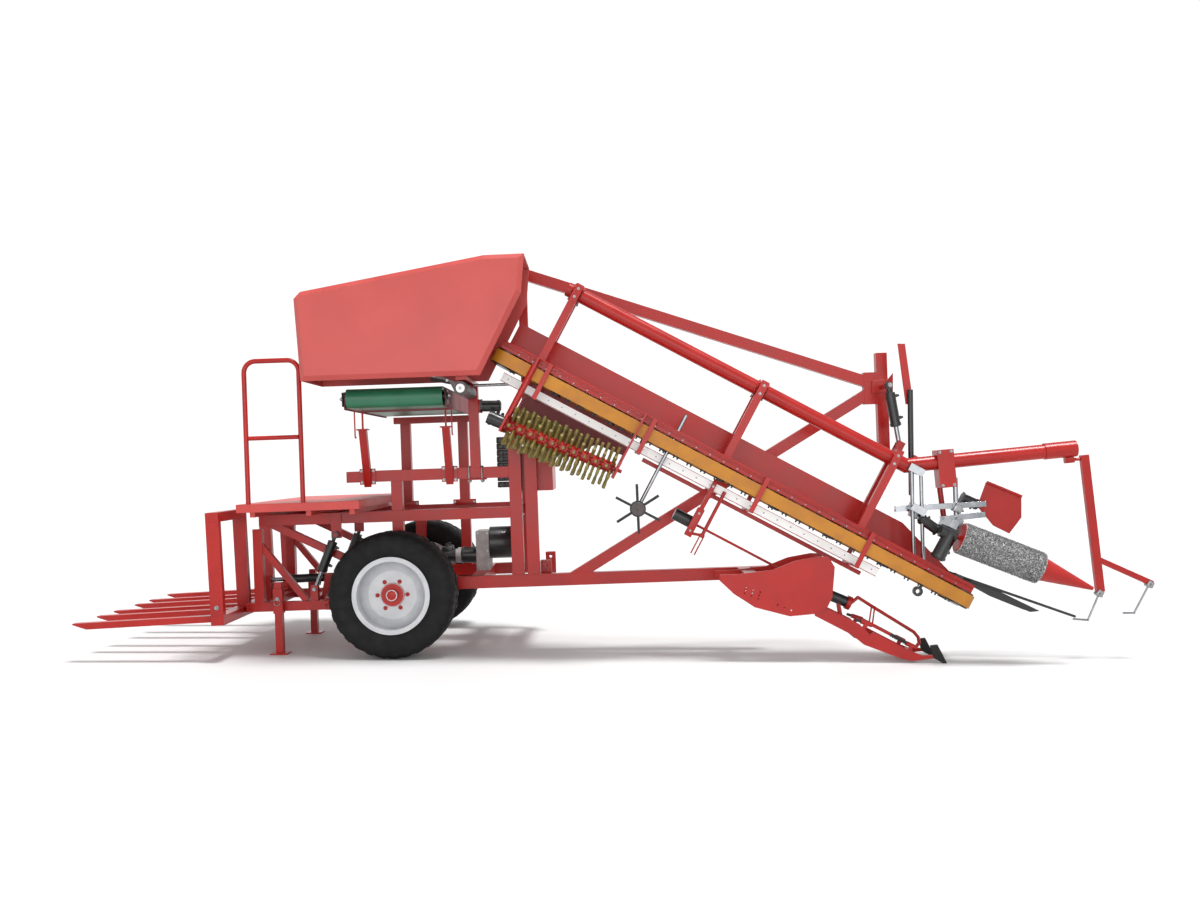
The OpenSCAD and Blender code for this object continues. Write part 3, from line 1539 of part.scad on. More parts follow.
// Front adjusters, chrome bars under a clamp on the boom that carry the drum's motor
link_h = 44;
link_a_shares = [[-0.831, 0.381], [-0.222, 0.745]];
link_b_shares = [[-0.477, 0.475], [-0.19, 0.668]];
link_c_shares = [[-0.527, 0.817], [-0.297, 0.408]];
link_a = from_nose(link_a_shares);
link_b = from_nose(link_b_shares);
link_c = from_nose(link_c_shares);
link_r2 = 20;
clamp_w = 60;
left_rod_shares = [[[-0.874, 0.701], [-0.554, 0.12]], [[-0.811, 0.734], [-0.469, 0.12]]];
left_rods = [for (p = left_rod_shares) from_nose(p)];
left_rod_r = 15;
left_y = -78;
left_out = left_y - left_rod_r - sheet;
clamp_x0 = 235;
clamp_x1 = 365;
clamp_z0 = -200;
clamp_z1 = 95;
clamp_y = 70;
cube_back = 687;
drum_link_back = 442;
cube_n = 455;
cube_c = [belt_len - cube_back, cube_n];
drum_link_s = belt_len - drum_link_back;
module at_front_boom() {
  translate([boom_bend_s, 0, boom_n])
    rotate([0, -boom_rise, 0])
      children();
}
module boom_clamp(grow) {
  at_front_boom()
    sbar(clamp_x0 - grow, clamp_x1 + grow, 0, 2 * (clamp_y + grow), clamp_z0 - grow, clamp_z1 + grow);
}
module front_links() {
  color(steel) at_belt() {
    flat(link_a[0], link_a[1], -link_h * half, link_h * half, link_h);
    flat(link_b[0], link_b[1], -link_h * half, link_h * half, link_h);
    difference() {
      link(link_c, 0, link_r2);
      boom_clamp(seat);
    }
    for (p = left_rods)
      difference() {
        link(p, left_y, left_rod_r);
        bar(p[1][0] - clamp_w * 2, p[1][0] + clamp_w * 2, -frame_y1, 0, 0, frame_n1 + seat);
      }
    c = clamp_w * half;
    translate([0, 0, boom_n])
      bar(left_rods[0][0][0] - c, left_rods[1][0][0] + c, left_out, -boom_r - seat, -c, c);
    translate([cube_c[0], 0, cube_c[1]])
      bar(-clamp_w, clamp_w, left_y - c, link_h * half + sheet, -c, c);
    difference() {
      translate([drum_link_s, 0, link_b[0][1]])
        bar(-c, c, drum_y - c, link_h * half, -link_h, link_h * half);
      drum_motor(seat);
    }
  }
}

// Red leaf shield behind the row
shield_back = 288;
shield_v = 624;
shield_w = 374;
shield_h = 306;
shield_shares = [[0.07, 0.248], [0, 0.902], [0.794, 1], [1, 0.52], [0.93, 0.01], [0.553, 0]];
shield_pts = outline(shield_shares, belt_len - shield_back, shield_v, shield_w, shield_h);
shield_y = link_h * half + seat;
module shield() {
  color(red) at_belt()
    plate(shield_pts, shield_y, shield_y + guard_t);
}

// Guide arm and feelers at the front of the boom
arm_r = 22;
arm_low_share = [0.891, 0.552];
arm_bar_shares = [[0.741, 0.766], [1.206, 0.795]];
feel_low_shares = [[0.91, 0.31], [0.803, 0.263]];
feel_top_shares = [[1.205, 0.526], [1.128, 0.486]];
arm_low = from_nose([arm_low_share])[0];
arm_bar = from_nose(arm_bar_shares);
feel_low = from_nose(feel_low_shares);
feel_top = from_nose(feel_top_shares);
feel_r = 8;
feel_ball = 10;
module feeler(a, p) {
  d = (p[0] - a) / norm(p[0] - a);
  link([a + d * (arm_r + 2 * seat), p[0]], 0, feel_r);
  translate([p[0][0], 0, p[0][1]])
    sphere(r = feel_ball);
  link(p, 0, feel_r);
}
guide_w = 64;
guide_out = 60;
guide_down = 58;
tip_block_back = 95;
tip_block_len = 70;
tip_block_h = 44;
tip_pin_r = 12;
module guide_arm() {
  d = [cos(boom_rise), sin(boom_rise)];
  n = [-d[1], d[0]];
  top = boom_tip + d * guide_out - n * guide_down;
  z = boom_sleeve_r + tip_block_h * half;
  color(red) at_belt() {
    flat(top, arm_low, lap - arm_r, arm_r - lap, guide_w);
    flat(arm_bar[0], arm_bar[1], 2 * lap - arm_r, arm_r - 2 * lap, 2 * arm_r - lap);
    for (p = [arm_low, arm_bar[1]])
      pin_y(p[0], p[1], -arm_r, arm_r, arm_r);
    link([boom_tip - d * tip_block_back * half - n * z, boom_tip + d * guide_out - n * z], 0, tip_pin_r);
    at_front_boom()
      translate([boom_front - tip_block_back, 0, -boom_sleeve_r - seat - tip_block_h])
        sbar(0, tip_block_len, 0, 2 * arm_r + lap, 0, tip_block_h);
  }
}
// Bright rods, the feelers and the star wheel's rod
module bright_rods() {
  color(steel) at_belt() {
    feeler(arm_low, feel_low);
    feeler(arm_bar[1], feel_top);
    rod([star_s, star_y, star_n - star_hub_r * half], [star_s, star_y, star_top_n], star_rod_r);
    pin_y(star_s, star_n, star_y - star_off - star_hub_w - sheet, star_y, star_pin_r);
  }
}

// Motors of the rotors and the drum, and the height post
rot_face = (rot_skew + (rot_end + rot_plate_t) * half) / cos(rot_ang);
rot_motor_gap = rot_face - rot_end + motor_r * tan(rot_ang) + seat;
module unit_motors() {
  color(black) {
    for (side = [-1, 1])
      at_rotor(side)
        translate([0, 0, -rot_end - motor_len - rot_motor_gap])
          cylinder(h = motor_len, r = motor_r);
    at_belt() {
      drum_motor(0);
      link(post_pts, post_y, post_r);
    }
  }
}

side_beams();
cross_members();
uprights();
braces();
axle();
headstock();
pump_set();
oil_tank();
struts();
apex_mast();
share_carrier();
share_arms();
share_tips();
share_drive();
hood_near();
hood_far();
hood_roof();
hood_roller();
conveyor_frame();
conveyor_belt();
conveyor_rollers();
deck();
handrail();
lift_sides();
lift_cross();
leg_right();
leg_left();
fork_frame();
fork_posts();
tines();
lift_barrels();
lift_rods();
tilt_barrel();
tilt_rod();
boom_barrel();
boom_rod();
tyre_right();
rim_right();
tyre_left();
rim_left();
boom();
hangers();
belt_frames();
far_guard();
belts();
pulleys();
guide_rails();
rail_brackets();
rotor_frame();
rotor_guard();
nose_rods();
front_links();
shield();
guide_arm();
bright_rods();
unit_motors();
rotor_right();
rotor_left();
star_wheel();
brush_drum();
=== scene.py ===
"""Looks of a one-row lifting harvester: finishes, small fittings, studio and camera.

Lengths are in millimetres, and the matrices of the two frames below turn them into metres.
"""
import math
import random

import bmesh
import bpy
from mathutils import Matrix, Vector


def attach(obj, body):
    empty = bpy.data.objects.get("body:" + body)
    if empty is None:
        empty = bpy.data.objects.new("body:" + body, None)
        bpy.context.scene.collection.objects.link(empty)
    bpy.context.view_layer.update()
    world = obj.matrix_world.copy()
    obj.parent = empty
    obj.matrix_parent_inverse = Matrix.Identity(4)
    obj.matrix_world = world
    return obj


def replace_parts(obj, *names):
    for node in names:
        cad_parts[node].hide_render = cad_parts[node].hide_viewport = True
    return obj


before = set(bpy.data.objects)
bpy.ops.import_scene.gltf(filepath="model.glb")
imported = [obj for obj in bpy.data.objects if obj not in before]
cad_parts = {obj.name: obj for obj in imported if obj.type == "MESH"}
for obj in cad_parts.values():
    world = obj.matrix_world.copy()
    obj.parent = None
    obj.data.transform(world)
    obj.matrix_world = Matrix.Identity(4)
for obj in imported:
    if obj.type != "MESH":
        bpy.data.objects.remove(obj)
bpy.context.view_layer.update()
random.seed(7)

# Places shared with the part's source: the chassis frame (u, y, v) and the lifting belts' frame (s, y, n)
MM = 0.001
AXLE = (-1769, 175, 500)
PITCH = 2
BELT_START = (875, -1050, 1859)
BELT_ANGLE = 29.6
CHASSIS = Matrix.Scale(MM, 4) @ Matrix.Translation(AXLE) @ Matrix.Rotation(math.radians(-PITCH), 4, "Y")
BELT = CHASSIS @ Matrix.Translation(BELT_START) @ Matrix.Rotation(math.radians(BELT_ANGLE), 4, "Y")

AHEAD = (1, 0, 0)
NEAR = (0, -1, 0)
UP = (0, 0, 1)
LEFT_AND_RIGHT = ((-1, "right"), (1, "left"))
HEXAGON = 6


# Finishes

def linear(colour, alpha=1.0):
    """Linear RGBA of a hex sRGB colour."""
    parts = [int(colour[i:i + 2], 16) / 255 for i in (1, 3, 5)]
    return [c / 12.92 if c <= 0.04045 else ((c + 0.055) / 1.055) ** 2.4 for c in parts] + [alpha]


def add(tree, kind, inputs=None, **settings):
    """Adds a node; an input that is a socket is linked, any other is set."""
    node = tree.nodes.new(kind)
    for name, value in settings.items():
        setattr(node, name, value)
    for name, value in (inputs or {}).items():
        if isinstance(value, bpy.types.NodeSocket):
            tree.links.new(value, node.inputs[name])
        else:
            node.inputs[name].default_value = value
    return node


def ramp(tree, factor, stops):
    """Colours along a factor, from (place, hex colour) stops."""
    node = add(tree, "ShaderNodeValToRGB", {"Fac": factor})
    elements = node.color_ramp.elements
    while len(elements) < len(stops):
        elements.new(0.5)
    for element, (place, colour) in zip(elements, stops):
        element.position = place
        element.color = linear(colour)
    return node.outputs["Color"]


DRIFT_DETAIL = 5.0
DRIFT_RANGE = (0.3, 0.7)
GLOSS_RANGE = (0.85, 1.2)
GRAIN_DETAIL = 2.0
GRAIN_STRENGTH = 0.6


def surface(name, stops, rough, mottle, grain, depth, edge, **sockets):
    """Finish whose colour and gloss drift over mottle mm.

    Its grains are grain mm wide and depth mm deep, and its edges are worn round by edge mm.
    """
    material = bpy.data.materials.new(name)
    material.use_nodes = True
    tree = material.node_tree
    shader = tree.nodes["Principled BSDF"]
    place = add(tree, "ShaderNodeTexCoord").outputs["Object"]
    drift = add(tree, "ShaderNodeTexNoise",
                {"Vector": place, "Scale": 1 / (mottle * MM), "Detail": DRIFT_DETAIL}).outputs["Fac"]
    tree.links.new(ramp(tree, drift, stops), shader.inputs["Base Color"])
    low, high = DRIFT_RANGE
    smooth, dull = (rough * share for share in GLOSS_RANGE)
    gloss = add(tree, "ShaderNodeMapRange", {"Value": drift, "From Min": low, "From Max": high,
                                             "To Min": smooth, "To Max": min(dull, 1.0)})
    tree.links.new(gloss.outputs["Result"], shader.inputs["Roughness"])
    speck = add(tree, "ShaderNodeTexNoise",
                {"Vector": place, "Scale": 1 / (grain * MM), "Detail": GRAIN_DETAIL}).outputs["Fac"]
    soft = add(tree, "ShaderNodeBevel", {"Radius": edge * MM}, samples=4).outputs["Normal"]
    bump = add(tree, "ShaderNodeBump", {"Height": speck, "Distance": depth * MM,
                                        "Strength": GRAIN_STRENGTH, "Normal": soft})
    tree.links.new(bump.outputs["Normal"], shader.inputs["Normal"])
    for socket, value in sockets.items():
        shader.inputs[socket.replace("_", " ")].default_value = value
    return material


WEAVE_STRENGTH = 0.5
WEAVE_WAVER = 0.4
# A wave texture of scale 1 turns by this many radians over a metre
WAVE_TURN = 20


def woven(material, pitch, depth):
    """Adds the warp and weft ridges of belting, pitch mm apart and depth mm high."""
    tree = material.node_tree
    place = tree.nodes["Texture Coordinate"].outputs["Object"]
    scale = 2 * math.pi / (WAVE_TURN * pitch * MM)
    ridges = [add(tree, "ShaderNodeTexWave", {"Vector": place, "Scale": scale, "Distortion": WEAVE_WAVER},
                  bands_direction=axis).outputs["Fac"] for axis in "XYZ"]
    cross = add(tree, "ShaderNodeMath", {0: ridges[0], 1: ridges[1]}, operation="ADD")
    cloth = add(tree, "ShaderNodeMath", {0: cross.outputs[0], 1: ridges[2]}, operation="ADD")
    weave = add(tree, "ShaderNodeBump", {"Height": cloth.outputs[0], "Distance": depth * MM,
                                         "Strength": WEAVE_STRENGTH,
                                         "Normal": tree.nodes["Bump"].outputs["Normal"]})
    tree.links.new(weave.outputs["Normal"], tree.nodes["Principled BSDF"].inputs["Normal"])
    return material


CHEQUER_STRENGTH = 0.8
CHEQUER_GAP = 0.3
CHEQUER_TURN = math.radians(45)


def chequer(material, pitch, depth):
    """Adds the raised crossed bars of a chequer plate, pitch mm long and depth mm high."""
    tree = material.node_tree
    place = tree.nodes["Texture Coordinate"].outputs["Object"]
    turned = add(tree, "ShaderNodeMapping", {"Vector": place, "Rotation": (0, 0, CHEQUER_TURN)})
    cells = add(tree, "ShaderNodeTexBrick", {"Vector": turned.outputs["Vector"], "Scale": 1.0,
                                             "Mortar Size": CHEQUER_GAP * pitch * MM,
                                             "Brick Width": pitch * MM, "Row Height": pitch * MM / 2})
    height = add(tree, "ShaderNodeMath", {0: 1.0, 1: cells.outputs["Fac"]}, operation="SUBTRACT")
    plate = add(tree, "ShaderNodeBump", {"Height": height.outputs[0], "Distance": depth * MM,
                                         "Strength": CHEQUER_STRENGTH,
                                         "Normal": tree.nodes["Bump"].outputs["Normal"]})
    tree.links.new(plate.outputs["Normal"], tree.nodes["Principled BSDF"].inputs["Normal"])
    return material


# Red enamel sprayed on welded steel: an even glossy red, with a faint orange peel and soft bright edges
RED = surface("red_enamel", ((0.3, "#960f09"), (0.55, "#a1130b"), (0.75, "#a81810")), 0.34,
              mottle=240, grain=6, depth=0.015, edge=3,
              Coat_Weight=0.1, Coat_Roughness=0.12, Specular_IOR_Level=0.36)

# The same enamel on wide thin sheets, painted paler: the lighter red is a painted sheen that stands in for
# the white studio light these flat sides mirror; the sheets are also rougher, so flatter
SHEEN_PAINTED_RED = surface("sheet_enamel_painted_sheen", ((0.3, "#af3f3a"), (0.55, "#b64540"), (0.75, "#ba4a45")), 0.4,
               mottle=420, grain=3, depth=0.03, edge=3,
               Coat_Weight=0.15, Coat_Roughness=0.2, Specular_IOR_Level=0.4)

# Enamelled chequer plate: rolled bars that cross, which scatter the gloss; its red is painted paler than the
# enamel elsewhere, a painted sheen that stands in for the white light its edge mirrors
DECK = chequer(surface("chequer_plate", ((0.3, "#b5352f"), (0.55, "#bd3c36"), (0.75, "#c2423c")), 0.42,
                       mottle=200, grain=2, depth=0.05, edge=3), 40, 1.2)

# Painted shade: a darker, dull, brownish copy of the red enamel for parts that lie in shade, nearly without
# sheen
SHADE_PAINTED_RED = surface("red_enamel_painted_shade", ((0.3, "#7a4345"), (0.55, "#854b4d"), (0.75, "#8d5254")), 0.65,
                 mottle=200, grain=3, depth=0.04, edge=3, Specular_IOR_Level=0.25)

# Black enamel on castings: deep black with a fine grain of the mould under the gloss
BLACK = surface("black_enamel", ((0.3, "#0d0d0e"), (0.6, "#161617"), (0.8, "#202021")), 0.38,
                mottle=40, grain=1.2, depth=0.08, edge=2, Coat_Weight=0.2)

# Silver enamel on pressed wheel discs: light, smooth and slightly uneven
RIM = surface("silver_enamel", ((0.3, "#b3b4b7"), (0.6, "#c0c1c4"), (0.8, "#cbcccd")), 0.36,
              mottle=120, grain=2, depth=0.05, edge=3, Coat_Weight=0.2)

# Moulded tyre rubber: matt, nearly black, with dust in its grain
TYRE = surface("tyre_rubber", ((0.3, "#070707"), (0.55, "#0c0c0c"), (0.8, "#131312")), 0.72,
               mottle=70, grain=1.5, depth=0.12, edge=3, Specular_IOR_Level=0.3)

# Moulded paddle rubber: softer than the tyre's, with a dull sheen
RUBBER = surface("paddle_rubber", ((0.3, "#0e0e0e"), (0.6, "#151515"), (0.8, "#1d1d1d")), 0.55,
                 mottle=30, grain=1.0, depth=0.08, edge=2)

# Moulded natural rubber of the fingers: olive yellow that darkens with soil and sap
FINGER = surface("finger_rubber", ((0.25, "#54491f"), (0.5, "#786a31"), (0.8, "#8c7f3f")), 0.5,
                 mottle=22, grain=1.0, depth=0.06, edge=1.5)

# Ground hard chrome: a clear mirror, darker than its surroundings
CHROME = surface("hard_chrome", ((0.3, "#838589"), (0.6, "#94969a"), (0.8, "#a6a8ab")), 0.14,
                 mottle=60, grain=4, depth=0.01, edge=2, Metallic=1.0)

# Zinc-plated steel: a soft metal sheen, spangled in small patches
ZINC = surface("zinc_plate", ((0.3, "#828485"), (0.55, "#9a9c9d"), (0.8, "#b2b3b2")), 0.36,
               mottle=12, grain=1.0, depth=0.05, edge=0.8, Metallic=1.0)

# Cast iron in grey machine paint: warm grey with the coarse skin of the sand mould
IRON = surface("cast_iron", ((0.3, "#85807f"), (0.55, "#989392"), (0.8, "#a6a1a0")), 0.5,
               mottle=50, grain=2.2, depth=0.2, edge=4)

# Hardened share iron: black scale with bare brownish patches where soil has rubbed
SHARE = surface("share_iron", ((0.3, "#0c0c0c"), (0.6, "#151413"), (0.8, "#262320")), 0.45,
                mottle=25, grain=2.0, depth=0.2, edge=3, Metallic=0.4)

# Hot-rolled steel: dark warm grey under its thin scale
STEEL = surface("rolled_steel", ((0.3, "#3f3636"), (0.55, "#4b4142"), (0.8, "#57494a")), 0.45,
                mottle=40, grain=2, depth=0.08, edge=2)

# Extruded polyethylene: milky white with a waxy sheen
WHITE = surface("polyethylene", ((0.3, "#f4f3f1"), (0.6, "#f9f8f6"), (0.8, "#fcfbfa")), 0.42,
                mottle=150, grain=1.5, depth=0.03, edge=1.5)

# Rubber-faced woven belting: mustard, matt, with the cloth showing through, drawn coarser than it is to show
MUSTARD = woven(surface("rubber_belting", ((0.25, "#9f610d"), (0.5, "#b07114"), (0.75, "#ba7c20")), 0.55,
                        mottle=160, grain=2.5, depth=0.08, edge=2), 25.13, 0.12)

# PVC-faced conveyor belting: even green, smoother than rubber, over a weave that is drawn coarser to show
GREEN = woven(surface("pvc_belting", ((0.25, "#246347"), (0.5, "#27694b"), (0.75, "#2b6f50")), 0.42,
                      mottle=120, grain=2, depth=0.05, edge=2), 31.42, 0.08)

# Nylon bristles: a fine random mottle from dark to pale grey, painted shade for the gaps between tufts and
# painted light for their tips, drawn coarser than real hairs so that they show
BRISTLE_STOPS = ((0.34, "#383838"), (0.47, "#808080"), (0.53, "#9b9b9b"), (0.62, "#c2c2c2"))
BRISTLE = surface("nylon_bristle", BRISTLE_STOPS, 0.75, mottle=9, grain=2.0, depth=0.6, edge=1)

# The finish of each carried-over CAD node; those not named are red
NODE_FINISH = {
    # the hood's sheets take the paler red whose lightness is painted sheen
    "hood_near": SHEEN_PAINTED_RED, "hood_far": SHEEN_PAINTED_RED, "hood_roof": SHEEN_PAINTED_RED, "hood_roller": STEEL, "deck": DECK,
    # the conveyor frame and rotor guard take the darker red whose darkness is painted shade
    "conveyor_frame": SHADE_PAINTED_RED, "conveyor_belt": GREEN, "conveyor_rollers": BLACK, "rotor_guard": SHADE_PAINTED_RED,
    "lift_barrels": BLACK, "tilt_barrel": BLACK, "boom_barrel": BLACK,
    "lift_rods": CHROME, "tilt_rod": CHROME, "boom_rod": CHROME,
    "front_links": CHROME, "bright_rods": CHROME,
    "rim_right": RIM, "rim_left": RIM, "tyre_right": TYRE, "tyre_left": TYRE,
    "belts": MUSTARD, "pulleys": BLACK, "guide_rails": WHITE, "nose_rods": BLACK, "unit_motors": BLACK,
    "rotor_right": FINGER, "rotor_left": FINGER, "star_wheel": RUBBER, "brush_drum": BRISTLE,
    "share_tips": SHARE, "share_drive": BLACK, "pump_set": IRON,
}
for node_name, node_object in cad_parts.items():
    node_object.data.materials.clear()
    node_object.data.materials.append(NODE_FINISH.get(node_name, RED))


# Mesh helpers, in the millimetres of the frame that a piece is built in

SMOOTH_ANGLE = 38


def piece(name, mesh, matrix, finish, body):
    """Turns a bmesh into an object that rides on a body."""
    mesh.transform(matrix)
    bmesh.ops.recalc_face_normals(mesh, faces=mesh.faces)
    for face in mesh.faces:
        face.smooth = True
    for edge in mesh.edges:
        bend = edge.calc_face_angle(math.pi)
        edge.smooth = len(edge.link_faces) == 2 and bend < math.radians(SMOOTH_ANGLE)
    data = bpy.data.meshes.new(name)
    mesh.to_mesh(data)
    mesh.free()
    data.materials.append(finish)
    thing = bpy.data.objects.new(name, data)
    bpy.context.collection.objects.link(thing)
    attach(thing, body)
    return thing


def fitting(name, shapes, matrix, finish, body):
    """Makes one piece from shapes given as (helper, arguments)."""
    mesh = bmesh.new()
    for helper, *given in shapes:
        helper(mesh, *given)
    return piece(name, mesh, matrix, finish, body)


def aim(start, end):
    """Matrix that takes local Z to the line from start to end."""
    start = Vector(start)
    line = Vector(end) - start
    return Matrix.Translation(start) @ line.to_track_quat("Z", "Y").to_matrix().to_4x4()


def rod(mesh, start, end, r, end_r=None, sides=20):
    """Round bar between two points, or a cone where its end has its own radius."""
    long = (Vector(end) - Vector(start)).length
    place = aim(start, end) @ Matrix.Translation((0, 0, long / 2))
    bmesh.ops.create_cone(mesh, cap_ends=True, segments=sides, radius1=r,
                          radius2=r if end_r is None else end_r, depth=long, matrix=place)


def stack(mesh, foot, way, steps):
    """Bars in line along a way from its foot, each step (from, to, radius, end radius, sides)."""
    foot = Vector(foot)
    way = Vector(way).normalized()
    for low, high, r, end_r, sides in steps:
        rod(mesh, foot + way * low, foot + way * high, r, end_r, sides)


BEVEL_SEGMENTS = 2


def block(mesh, low, high, bevel=0):
    """Box between two corners with its edges bevelled."""
    low, high = Vector(low), Vector(high)
    place = Matrix.Translation((low + high) / 2) @ Matrix.Diagonal(high - low).to_4x4()
    made = bmesh.ops.create_cube(mesh, size=1, matrix=place)
    if bevel:
        edges = dict.fromkeys(edge for vert in made["verts"] for edge in vert.link_edges)
        bmesh.ops.bevel(mesh, geom=list(edges), offset=bevel, segments=BEVEL_SEGMENTS, affect="EDGES",
                        profile=0.5, material=-1)


# Washer, hexagon head and end of the thread, in shares of a bolt's size
BOLT_STEPS = ((0, 0.18, 1.15, 1.15, 18), (0.18, 0.85, 0.9, 0.9, 6), (0.85, 1.25, 0.5, 0.42, 10))


def bolt(mesh, foot, way, size):
    """Hexagon head on a washer, with the end of its thread."""
    stack(mesh, foot, way, [(*(size * share for share in step), sides) for *step, sides in BOLT_STEPS])


def loft(mesh, rings):
    """Solid through rings of points: the face of the first is extruded from ring to ring."""
    face = mesh.faces.new([mesh.verts.new(point) for point in rings[0]])
    for points in rings[1:]:
        made = bmesh.ops.extrude_face_region(mesh, geom=[face, *face.edges])
        face = next(part for part in made["geom"] if isinstance(part, bmesh.types.BMFace))
        for vert, point in zip(face.verts, points):
            vert.co = point


def circle(count):
    """Unit directions in equal steps of one turn, as (cosine, sine)."""
    return [(math.cos(2 * math.pi * k / count), math.sin(2 * math.pi * k / count)) for k in range(count)]


def tube(mesh, points, r, sides=10):
    """Round bar bent through points."""
    points = [Vector(point) for point in points]
    rings = []
    for before, point, after in zip(points[:1] + points, points, points[1:] + points[-1:]):
        turn = (after - before).to_track_quat("Z", "Y").to_matrix()
        rings.append([point + turn @ Vector((r * x, r * y, 0)) for x, y in circle(sides)])
    loft(mesh, rings)


def arc(centre, r, first, last, steps, plane):
    """Points on a round bend from a first to a last angle; plane gives the two unit directions."""
    one, two = (Vector(way) for way in plane)
    turns = (math.radians(first + (last - first) * k / steps) for k in range(steps + 1))
    return [Vector(centre) + one * r * math.cos(t) + two * r * math.sin(t) for t in turns]


def spun(mesh, profile, sides, place):
    """Closed profile of (r, z) points, spun a full turn round the Z axis of its place."""
    verts = [mesh.verts.new(place @ Vector((r, 0, z))) for r, z in profile]
    edges = [mesh.edges.new(pair) for pair in zip(verts, verts[1:] + verts[:1])]
    bmesh.ops.spin(mesh, geom=verts + edges, cent=place.translation, axis=place.to_3x3() @ Vector(UP),
                   angle=2 * math.pi, steps=sides, use_merge=True)


RING_SIDES = 28


def ring(mesh, centre, outer, inner, width):
    """Round ring with its axis across the machine."""
    half = width / 2
    place = Matrix.Translation(centre) @ Matrix.Rotation(math.radians(-90), 4, "X")
    spun(mesh, ((outer, -half), (outer, half), (inner, half), (inner, -half)), RING_SIDES, place)


# Wheels

WHEEL_Y = 900
TYRE_SIDES = 96
TYRE_PROFILE = ((281, 160), (306, 160), (318, 172), (345, 188), (390, 198), (430, 198), (462, 186),
                (484, 156), (494, 90), (495, 0))
LUGS = 30
LUG_SHIFT = 0.25
# Distance from the tyre's middle, radius of top and foot, and lead in degrees along one lug
LUG_STATIONS = ((16, 500, 480, 0.0), (90, 500, 480, 2.2), (150, 492, 474, 4.6), (180, 474, 458, 5.8),
                (192, 456, 444, 6.3))
LUG_FOOT = 3.6
LUG_TOP = 0.8 * LUG_FOOT
HUB_STEPS = ((84, 87, 95, 95, 48), (87, 96, 95, 88, 48), (95, 124, 49, 49, 8), (124, 131, 49, 38, 8))
NUTS = 6
NUT_PITCH = 118
NUT_FOOT = 83
NUT = 15


def wheel_frame(side):
    """Frame of a wheel with local Z pointing outward."""
    turn = Matrix.Rotation(math.radians(-side * 90), 4, "X")
    return CHASSIS @ Matrix.Translation((0, side * WHEEL_Y, 0)) @ turn


def lug(mesh, turn, face):
    """One tread lug that runs from near the crown over the shoulder."""
    rings = []
    for z, top, foot, lead in LUG_STATIONS:
        corners = ((top, lead - LUG_TOP), (top, lead + LUG_TOP),
                   (foot, lead + LUG_FOOT), (foot, lead - LUG_FOOT))
        turns = [(r, turn + math.radians(angle)) for r, angle in corners]
        rings.append([(r * math.cos(t), r * math.sin(t), face * z) for r, t in turns])
    loft(mesh, rings)


def wheels():
    """Tyres with their tread, and hubs with their nuts."""
    half = TYRE_PROFILE[:-1]
    profile = TYRE_PROFILE + tuple((r, -z) for r, z in reversed(half))
    for side, label in LEFT_AND_RIGHT:
        body = "wheel_" + label
        tyre = bmesh.new()
        spun(tyre, profile, TYRE_SIDES, Matrix())
        for face in (-1, 1):
            for k in range(LUGS):
                lug(tyre, 2 * math.pi * (k + LUG_SHIFT * face) / LUGS, face)
        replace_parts(piece("tread_" + label, tyre, wheel_frame(side), TYRE, body), "tyre_" + label)
        hub = [(stack, (0, 0, 0), UP, HUB_STEPS)]
        hub += [(bolt, (NUT_PITCH * x, NUT_PITCH * y, NUT_FOOT), UP, NUT) for x, y in circle(NUTS)]
        fitting("hub_" + label, hub, wheel_frame(side), RED, body)


# Cleaning rotors

ROTOR_START = (363, -438)
ROTOR_END = (1242, -359)
ROTOR_Y = 200
ROTOR_TUBE = 42
ROTOR_SHAFT = 20
ROTOR_STUB = 14
SHAFT_END = 25
STUB_END = 60
STUB_SIDES = 12
FINGER_RINGS = 20
FINGERS = 6
FINGER_TURN = 30
COLLAR_STEPS = ((34, 50, 18, 15, 12),)
FINGER_STEPS = ((42, 126, 11, 10, 10), (126, 172, 13, 12, 10))


def rotors():
    """Hexagonal rotor tubes with rings of rubber fingers in collars."""
    for side, label in LEFT_AND_RIGHT:
        body = "rotor_%s_body" % label
        start = Vector((ROTOR_START[0], side * ROTOR_Y, ROTOR_START[1]))
        end = Vector((ROTOR_END[0], side * ROTOR_Y, ROTOR_END[1]))
        place = BELT @ aim(start, end)
        long = (end - start).length
        core = [(rod, (0, 0, 0), (0, 0, long), ROTOR_TUBE, None, HEXAGON),
                (rod, (0, 0, -SHAFT_END), (0, 0, long + SHAFT_END), ROTOR_SHAFT),
                (rod, (0, 0, long + SHAFT_END), (0, 0, long + STUB_END), ROTOR_STUB, None, STUB_SIDES)]
        fingers = []
        for i in range(FINGER_RINGS):
            foot = (0, 0, long * (i + 0.5) / FINGER_RINGS)
            for k in range(FINGERS):
                a = math.radians(FINGER_TURN * (i % 2) + 360 * k / FINGERS)
                out = (math.cos(a), math.sin(a), 0)
                core.append((stack, foot, out, COLLAR_STEPS))
                fingers.append((stack, foot, out, FINGER_STEPS))
        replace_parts(fitting("rotor_core_" + label, core, place, RED, body), "rotor_" + label)
        fitting("rotor_fingers_" + label, fingers, place, FINGER, body)


# Brush drum with its cone

DRUM_START = (3815, 397)
DRUM_END = (4464, 472)
DRUM_Y = -250
DRUM_R = 130
DRUM_SIDES = 64
TUFTS = 9000
TUFT = 16
TUFT_FOOT = ((-0.016, -2), (0.016, -2), (0.0, 3))
TUFT_MARGIN = 4
TUFT_LEAN = 0.05
TUFT_SHORT = 5
TUFT_SPREAD = 6
CONE_LEN = 430
CONE_R = 95
CONE_TIP = 14
CONE_SIDES = 48
DRUM_ENDS = ((-30, 2, 20, 20, 20), (-6, 1, 110, 110, 48))


